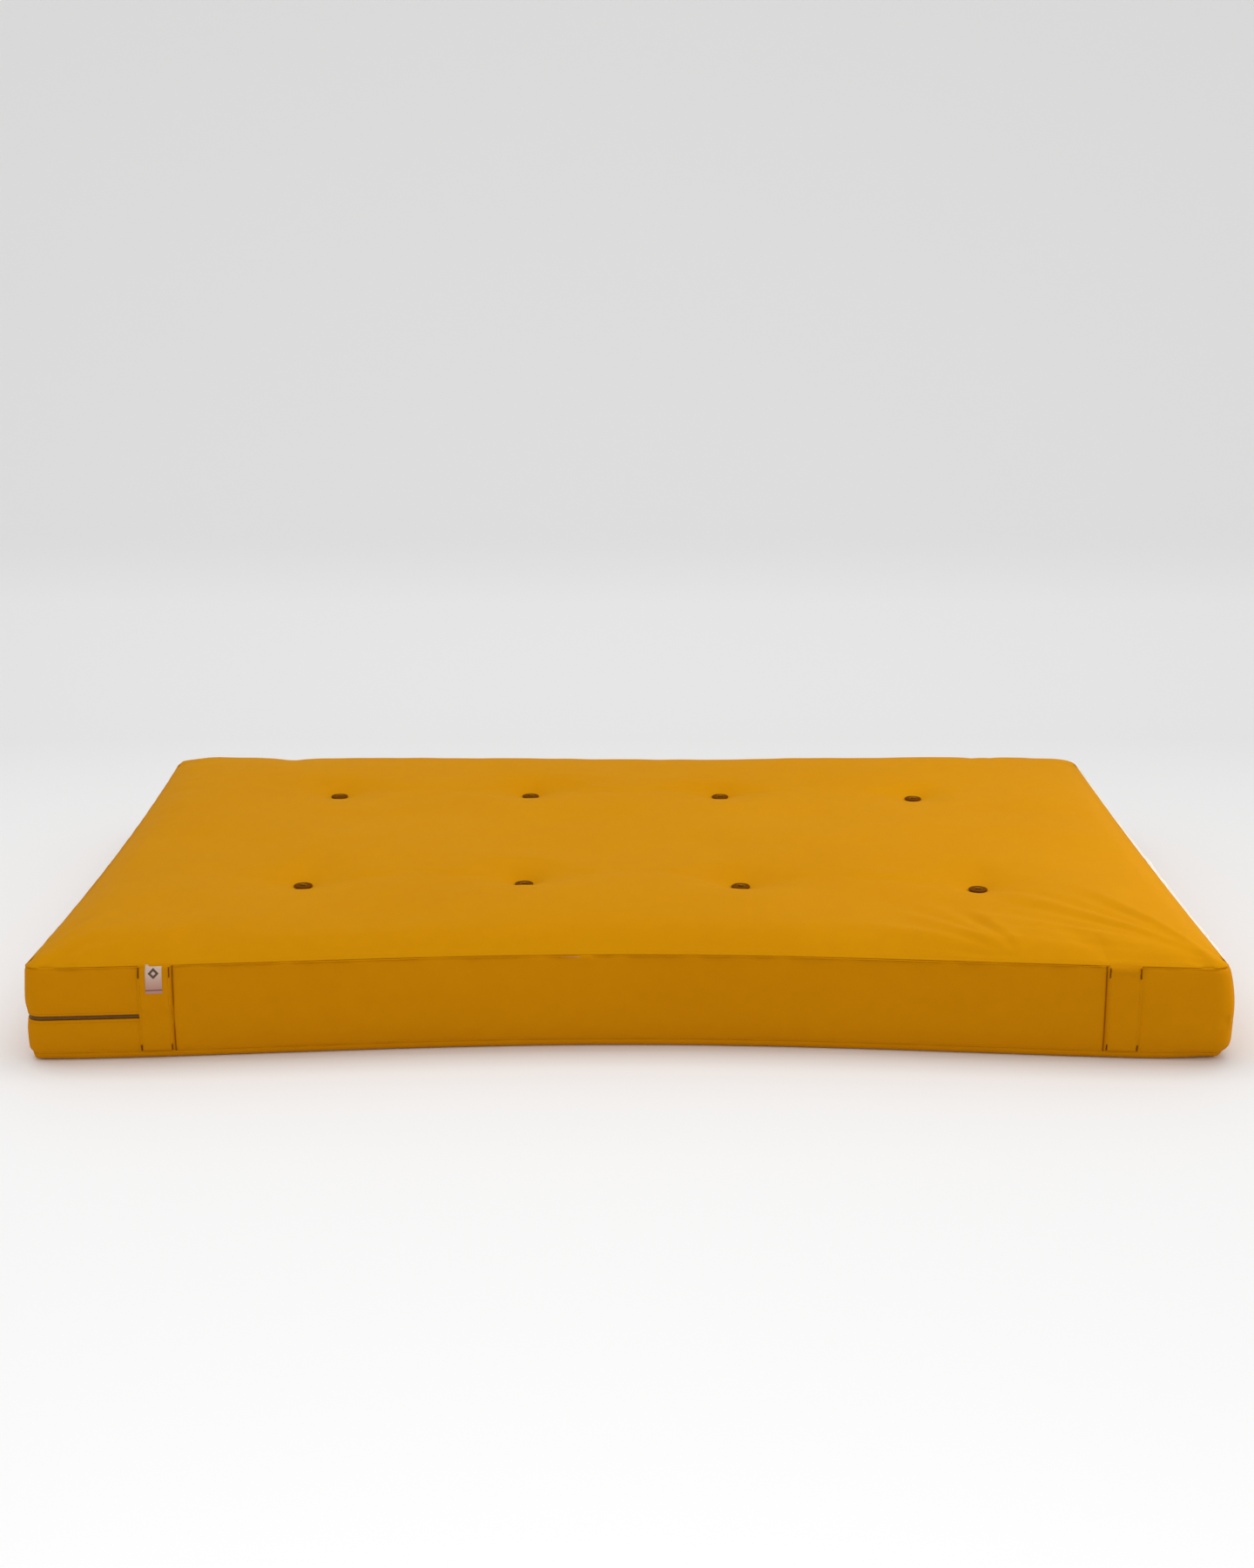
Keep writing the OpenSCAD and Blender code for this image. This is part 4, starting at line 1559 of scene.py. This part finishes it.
    def build_stitches(self, side: int, name: str) -> None:
        """Sew a row of topstitching along the cover beside the zip's slot."""
        line, along, out = self.run(-0.25 * MM, self.stitch_pitch)
        level = self.level + side * ((self.cover.slot_high - self.cover.slot_low) / 2 + 4.5 * MM)
        places = []
        for spot, direction, facing in zip(line[2:-2], along[2:-2], out[2:-2]):
            start = Vector((*(spot + 0.03 * facing), level))
            hit, normal, _, _ = self.cover.tree.ray_cast(start, Vector((*-facing, 0)))
            if hit is None:
                continue
            normal = normal if normal.dot(Vector((*facing, 0))) > 0 else -normal
            size = (0.7 * self.stitch_pitch, MM, MM)
            places.append(frame_at(hit + normal * 0.1 * MM, Vector((*direction, 0)), normal, size))
        piece = finished(f"zip_topstitch_{name}", repeated(bead(0.65), places), [self.wardrobe.thread])
        dressed(piece, ROOT, "cover_cloth")

    def slider_frame(self) -> Matrix:
        """Where the slider is: X points along the pull, Y down or up, Z out of the cover."""
        line, _, out = self.run(0.0, MM)
        middle = (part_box("zip_slider")[0].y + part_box("zip_slider")[1].y) / 2
        left = [k for k in range(len(line)) if line[k][0] < -0.9]
        nearest = min(left, key=lambda k: abs(line[k][1] - middle))
        facing = Vector((*out[nearest], 0))
        along = Vector((-facing.y, facing.x, 0))
        along = along if along.y < 0 else -along
        return frame_at(Vector((*line[nearest], self.level)), along, facing)

    def build_slider(self) -> None:
        """Make the slider: shield-shaped plates, a web between them and the bridge that holds the pull."""
        frame = self.slider_frame()
        bm = bmesh.new()
        for length, width, low, high, waist in ((10, 6, -0.6, 1.6, 0.78), (10, 9, -4.8, -4.0, 0.7)):
            rim = []
            for k in range(36):
                angle = 2 * math.pi * k / 36
                squared = (abs(math.cos(angle)) ** 3.2 + abs(math.sin(angle)) ** 3.2) ** (-1 / 3.2)
                x, y = squared * math.cos(angle), squared * math.sin(angle)
                taper = waist + (1 - waist) * (0.5 - 0.5 * x)
                rim.append(bm.verts.new((x * length / 2 * MM, y * width / 2 * taper * MM, low * MM)))
            plate = bm.faces.new(rim)
            top = bmesh.ops.extrude_face_region(bm, geom=[plate], use_keep_orig=True)["geom"]
            lifted = [g for g in top if isinstance(g, bmesh.types.BMVert)]
            bmesh.ops.translate(bm, verts=lifted, vec=(0, 0, (high - low) * MM))
        bmesh.ops.create_cube(bm, size=1.0, matrix=Matrix.Translation((3.2 * MM, 0, -2.2 * MM))
                              @ Matrix.Diagonal((2.2 * MM, 1.0 * MM, 4.2 * MM, 1)))
        bmesh.ops.recalc_face_normals(bm, faces=bm.faces[:])
        sharp = [e for e in bm.edges if len(e.link_faces) == 2 and e.calc_face_angle() > 1.0]
        bmesh.ops.bevel(bm, geom=sharp, offset=0.35 * MM, offset_type="OFFSET", segments=2, profile=0.5,
                        affect="EDGES", material=-1)
        self.add_bridge(bm)
        bmesh.ops.transform(bm, matrix=frame, verts=bm.verts[:])
        bmesh.ops.recalc_face_normals(bm, faces=bm.faces[:])
        piece = finished("zip_slider_cast", bm, [self.wardrobe.metal])
        sharpen(piece, 45)
        dressed(piece, "zip_slider", "zip_metal", "zip_slider")

    def add_bridge(self, bm: bmesh.types.BMesh) -> None:
        """Add the arch over the pull's pin, as a bent bar with rounded edges."""
        rings = []
        for k in range(19):
            angle = math.pi * k / 18
            middle = Vector((-3.9 * math.cos(angle) * MM, 0, (1.3 + 3.6 * math.sin(angle) ** 0.75) * MM))
            out = Vector((-math.cos(angle), 0, max(math.sin(angle), 0.05))).normalized()
            ring = []
            for i in range(12):
                turn = 2 * math.pi * i / 12
                ring.append(bm.verts.new(middle + out * 0.5 * MM * math.cos(turn)
                                         + Vector((0, 1.1 * MM * math.sin(turn), 0))))
            rings.append(ring)
        for first, second in zip(rings, rings[1:]):
            for i in range(12):
                bm.faces.new((first[i], first[(i + 1) % 12], second[(i + 1) % 12], second[i]))
        bm.faces.new(rings[0])
        bm.faces.new(rings[-1])

    def build_pull(self) -> None:
        """Make the pull tab, with the eye that hangs on the slider's pin."""
        frame = self.slider_frame() @ Matrix.Translation((0, 0, 3.5 * MM))
        bm = bmesh.new()
        count, rims = 56, []
        for hole in (True, False):
            rim = []
            for k in range(count):
                angle = 2 * math.pi * k / count
                if hole:
                    x, y = 2.4 * math.cos(angle), 1.7 * math.sin(angle)
                else:
                    reach = 26.0 if math.cos(angle) > 0 else 2.6
                    power = 3.4
                    squared = (abs(math.cos(angle)) ** power + abs(math.sin(angle)) ** power) ** (-1 / power)
                    x = squared * math.cos(angle) * reach
                    y = squared * math.sin(angle) * (2.5 + 1.0 * float(eased(np.array(x / 26.0))))
                rim.append(bm.verts.new(((x + 1.0) * MM, y * MM, -0.6 * MM)))
            rims.append(rim)
        inner, outer = rims
        for k in range(count):
            bm.faces.new((inner[k], inner[(k + 1) % count], outer[(k + 1) % count], outer[k]))
        raised = bmesh.ops.extrude_face_region(bm, geom=bm.faces[:], use_keep_orig=True)["geom"]
        lifted = [g for g in raised if isinstance(g, bmesh.types.BMVert)]
        bmesh.ops.translate(bm, verts=lifted, vec=(0, 0, 1.2 * MM))
        bmesh.ops.recalc_face_normals(bm, faces=bm.faces[:])
        sharp = [e for e in bm.edges if len(e.link_faces) == 2 and e.calc_face_angle() > 1.0]
        bmesh.ops.bevel(bm, geom=sharp, offset=0.3 * MM, offset_type="OFFSET", segments=2, profile=0.5,
                        affect="EDGES", material=-1)
        bmesh.ops.transform(bm, matrix=frame, verts=bm.verts[:])
        piece = finished("zip_pull_tab", bm, [self.wardrobe.metal])
        sharpen(piece, 40)
        dressed(piece, "zip_pull", "zip_metal", "zip_pull")


# ---- tufts -------------------------------------------------------------------


@dataclass
class Tuft:
    """One tuft: a felt washer on each face and the twine that draws them together."""

    number: int
    wardrobe: Wardrobe
    steps: int = 56

    def build(self) -> None:
        """Make both washers and the twine."""
        self.build_washer("top", 1)
        self.build_washer("bottom", -1)
        self.build_twine()

    def build_washer(self, name: str, facing: int) -> None:
        """Make one felt washer, dished by the twine, a little uneven round its rim.

        Args:
            name: Which face it lies on.
            facing: 1 for the top face, -1 for the bottom one.
        """
        node = f"tuft_{self.number}_{name}_washer"
        low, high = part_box(node)
        centre, radius = (low + high) / 2, (high.x - low.x) / 2
        half = (high.z - low.z) / 2
        profile = [(0.0, -0.95), (0.5, -0.95), (0.93, -0.85), (0.985, -0.45), (1.0, 0.0), (0.985, 0.5), (0.93, 0.86),
                   (0.85, 0.97), (0.7, 0.98), (0.5, 0.9), (0.3, 0.62), (0.15, 0.3), (0.0, 0.2)]
        bm = bmesh.new()
        chain = [bm.verts.new((r * radius, 0, z * half * facing)) for r, z in profile]
        edges = [bm.edges.new(pair) for pair in zip(chain, chain[1:])]
        bmesh.ops.spin(bm, geom=chain + edges, cent=(0, 0, 0), axis=(0, 0, 1), angle=2 * math.pi, steps=self.steps)
        bmesh.ops.remove_doubles(bm, verts=bm.verts[:], dist=1e-6)
        bmesh.ops.recalc_face_normals(bm, faces=bm.faces[:])
        rng = np.random.default_rng(100 + 2 * self.number + (facing > 0))
        waves = rng.uniform(0, 2 * math.pi, 3)
        for vert in bm.verts:
            angle, out = math.atan2(vert.co.y, vert.co.x), math.hypot(vert.co.x, vert.co.y) / radius
            uneven = sum(math.sin((2 + 3 * i) * angle + w) for i, w in enumerate(waves)) / 3
            fuzz = 0.004 * math.sin(41 * angle + waves[0]) + 0.003 * math.sin(67 * angle + waves[1])
            vert.co.xy *= 1 - 0.02 * abs(uneven) * out + fuzz * out
            vert.co.z += 0.12 * half * uneven * out**2 * (1 if abs(vert.co.z) < 0.9 * half else 0)
        bmesh.ops.translate(bm, verts=bm.verts[:], vec=centre)
        dressed(finished(f"{node}_felt", bm, [self.wardrobe.felt]), ROOT, "felt", node)

    def build_twine(self) -> None:
        """Make the twine: a shaft through the mattress, and a tie and a knot on each washer."""
        node = f"tuft_{self.number}_twine"
        low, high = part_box(node)
        centre = (low + high) / 2
        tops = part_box(f"tuft_{self.number}_top_washer")
        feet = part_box(f"tuft_{self.number}_bottom_washer")
        upper, lower = (tops[0].z + tops[1].z) / 2, (feet[0].z + feet[1].z) / 2
        bm = bmesh.new()
        count = 60
        shaft = [Vector((centre.x, centre.y, lower + (upper - lower) * k / count)) for k in range(count + 1)]
        twisted_cord(bm, shaft, 1.6 * MM, 9 * MM)
        lean = 0.35 * math.sin(2.3 * self.number)
        for base, facing, limit in ((upper, 1, high.z), (lower, -1, low.z)):
            reach = min(abs(limit - base), 4.4 * MM)
            along = Vector((math.cos(lean), math.sin(lean), 0))
            tie = []
            for k in range(29):
                place = -1 + 2 * k / 28
                rise = (reach - 2.9 * MM) + 1.4 * MM * (1 - place**2) - 2.2 * MM * abs(place) ** 8
                tie.append(Vector((centre.x, centre.y, base)) + along * place * 8 * MM + Vector((0, 0, facing * rise)))
            twisted_cord(bm, tie, 1.35 * MM, 6 * MM)
            knot = []
            side = Vector((-along.y, along.x, 0))
            for k in range(41):
                turn = 2 * math.pi * 1.6 * k / 40
                loop = side * math.cos(turn) * 2.1 * MM + Vector((0, 0, facing)) * math.sin(turn) * 1.3 * MM
                middle = Vector((centre.x, centre.y, base + facing * (reach - 2.3 * MM)))
                knot.append(middle + loop + along * (k / 40 - 0.5) * 3.4 * MM)
            twisted_cord(bm, knot, 0.95 * MM, 5 * MM)
        bmesh.ops.recalc_face_normals(bm, faces=bm.faces[:])
        dressed(finished(f"{node}_tied", bm, [self.wardrobe.twine]), ROOT, "twine", node)


# ---- stage -------------------------------------------------------------------


@dataclass
class Studio:
    """A pale floor that curves up behind the mattress, with painted light on it, soft lights and the camera."""

    # The far and near floor colours paint shade and light onto the floor.
    far_painted_shade_colour: tuple[float, float, float] = (0.79, 0.79, 0.79)
    near_painted_light_colour: tuple[float, float, float] = (0.95, 0.95, 0.95)
    wall_colour: tuple[float, float, float] = (0.90, 0.90, 0.90)
    half_size: float = 9.0
    back_wall: float = 5.0
    sweep_radius: float = 2.5
    camera_place: tuple[float, float, float] = (0.0, -4.298, 1.424)
    camera_pitch: float = 14.7
    focal_length: float = 52.94

    def build(self) -> None:
        """Make the stage, the lights and the camera."""
        self.build_camera()
        self.build_floor()
        self.build_lights()

    def build_camera(self) -> None:
        """Place the camera in front of the long side, looking slightly down."""
        data = bpy.data.cameras.new("camera")
        data.sensor_width = 36.0
        data.lens = self.focal_length
        camera = bpy.data.objects.new("camera", data)
        camera.location = self.camera_place
        camera.rotation_euler = (math.radians(90 - self.camera_pitch), 0.0, 0.0)
        bpy.context.scene.collection.objects.link(camera)
        bpy.context.scene.camera = camera

    def build_floor(self) -> None:
        """Make the floor and its sweep as one smooth sheet."""
        bm = bmesh.new()
        bmesh.ops.create_grid(bm, x_segments=1, y_segments=1, size=self.half_size)
        bmesh.ops.translate(bm, verts=bm.verts[:], vec=(0, self.back_wall - self.half_size, 0))
        edge = [e for e in bm.edges if all(v.co.y > self.back_wall - 1e-3 for v in e.verts)]
        bmesh.ops.spin(bm, geom=edge, cent=(0, self.back_wall, self.sweep_radius), axis=(1, 0, 0),
                       angle=math.pi / 2, steps=16)
        bmesh.ops.remove_doubles(bm, verts=bm.verts[:], dist=1e-5)
        rim = [e for e in bm.edges if all(v.co.z > self.sweep_radius - 1e-3 for v in e.verts)]
        wall = bmesh.ops.extrude_edge_only(bm, edges=rim)["geom"]
        bmesh.ops.translate(bm, verts=[g for g in wall if isinstance(g, bmesh.types.BMVert)], vec=(0, 0, 6))
        material, shade, principled = new_material("studio_floor")
        place = shade.node("ShaderNodeTexCoord")
        cloud = shade.noise(place.outputs["Object"], 0.7, 2.0)
        split = shade.node("ShaderNodeSeparateXYZ")
        shade.join(place.outputs["Object"], split.inputs[0])
        # Painted light and shade: the floor is lightest near the camera and darker further back; the sweep then blends
        # into the wall colour.
        near = shade.math("SUBTRACT", 1.0, shade.fitted(split.outputs[1], -1.2, 1.6))
        share = shade.math("ADD", near, shade.math("MULTIPLY", cloud, 0.04))
        floor = shade.mix(share, (*self.far_painted_shade_colour, 1.0), (*self.near_painted_light_colour, 1.0))
        colour = shade.mix(shade.fitted(split.outputs[1], 1.6, 3.6), floor, (*self.wall_colour, 1.0))
        shade.join(colour, principled.inputs["Base Color"])
        principled.inputs["Roughness"].default_value = 0.75
        self.floor = finished("studio_floor", bm, [material])
        self.floor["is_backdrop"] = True

    def build_lights(self) -> None:
        """Hang the soft boxes and set the room's own light."""
        world = bpy.data.worlds.new("studio_air")
        world.use_nodes = True
        sky = next(n for n in world.node_tree.nodes if n.type == "BACKGROUND")
        sky.inputs[0].default_value = (1.0, 1.0, 1.0, 1.0)
        sky.inputs[1].default_value = 0.75
        bpy.context.scene.world = world
        self.soft_box("overhead", (0.0, 0.6, 4.2), (0, 0.6, 0), (6.0, 2.3), 67.0)
        front = self.soft_box("front_floor", (0.0, -3.3, 2.8), (0, -3.3, 0), (3.5, 0.8), 9.0)
        front.data.spread = math.radians(90)
        key = self.soft_box("right_key", (2.2, -0.42, 1.25), (0.98, -0.6, 0.17), (0.7, 0.45), 15.0)
        self.key = key
        bpy.context.scene.view_settings.view_transform = "Standard"

    def flag_key(self) -> None:
        """Keep the key light on the mattress and off the floor."""
        receivers = bpy.data.collections.new("lit_by_key")
        for piece in bpy.context.scene.objects:
            if piece.type == "MESH" and piece is not self.floor and not piece.hide_render:
                receivers.objects.link(piece)
        self.key.light_linking.receiver_collection = receivers

    def soft_box(self, name: str, place: tuple[float, float, float], aim: tuple[float, float, float],
                 size: tuple[float, float], power: float) -> bpy.types.Object:
        """Add a rectangular area light that looks at a point.

        Args:
            name: The light's name.
            place: Where it hangs.
            aim: What it looks at.
            size: Its width and height.
            power: Its power in watts.

        Returns:
            The light.
        """
        data = bpy.data.lights.new(name, "AREA")
        data.shape = "RECTANGLE"
        data.size, data.size_y = size
        data.energy = power
        light = bpy.data.objects.new(name, data)
        light.visible_camera = False
        light.location = place
        light.rotation_euler = (Vector(aim) - Vector(place)).to_track_quat("-Z", "Y").to_euler()
        bpy.context.scene.collection.objects.link(light)
        return light


def main() -> dict[str, list[list[float]]]:
    """Build the mattress and its stage round the frame.

    Returns:
        The CAD model's box and the visual model's box.
    """
    logging.basicConfig(level=logging.INFO, format="%(name)s: %(message)s")
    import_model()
    cad_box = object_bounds()
    studio = Studio()
    studio.build()
    wardrobe = Wardrobe()
    cover = Cover(Pad(), wardrobe)
    cover.build()
    Filling(cover, wardrobe).build()
    straps = {place: Strap(place, cover, wardrobe, folded=place.endswith("right"))
              for place in ("front_left", "front_right", "back_left", "back_right")}
    for strap in straps.values():
        strap.build()
    Label(straps["front_left"], wardrobe).build()
    Zip(cover, wardrobe).build()
    for number in range(1, 9):
        Tuft(number, wardrobe).build()
    studio.flag_key()
    sizes = {"cad": [list(p) for p in cad_box], "visual": [list(p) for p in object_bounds()]}
    return sizes


if __name__ == "__main__":
    main()
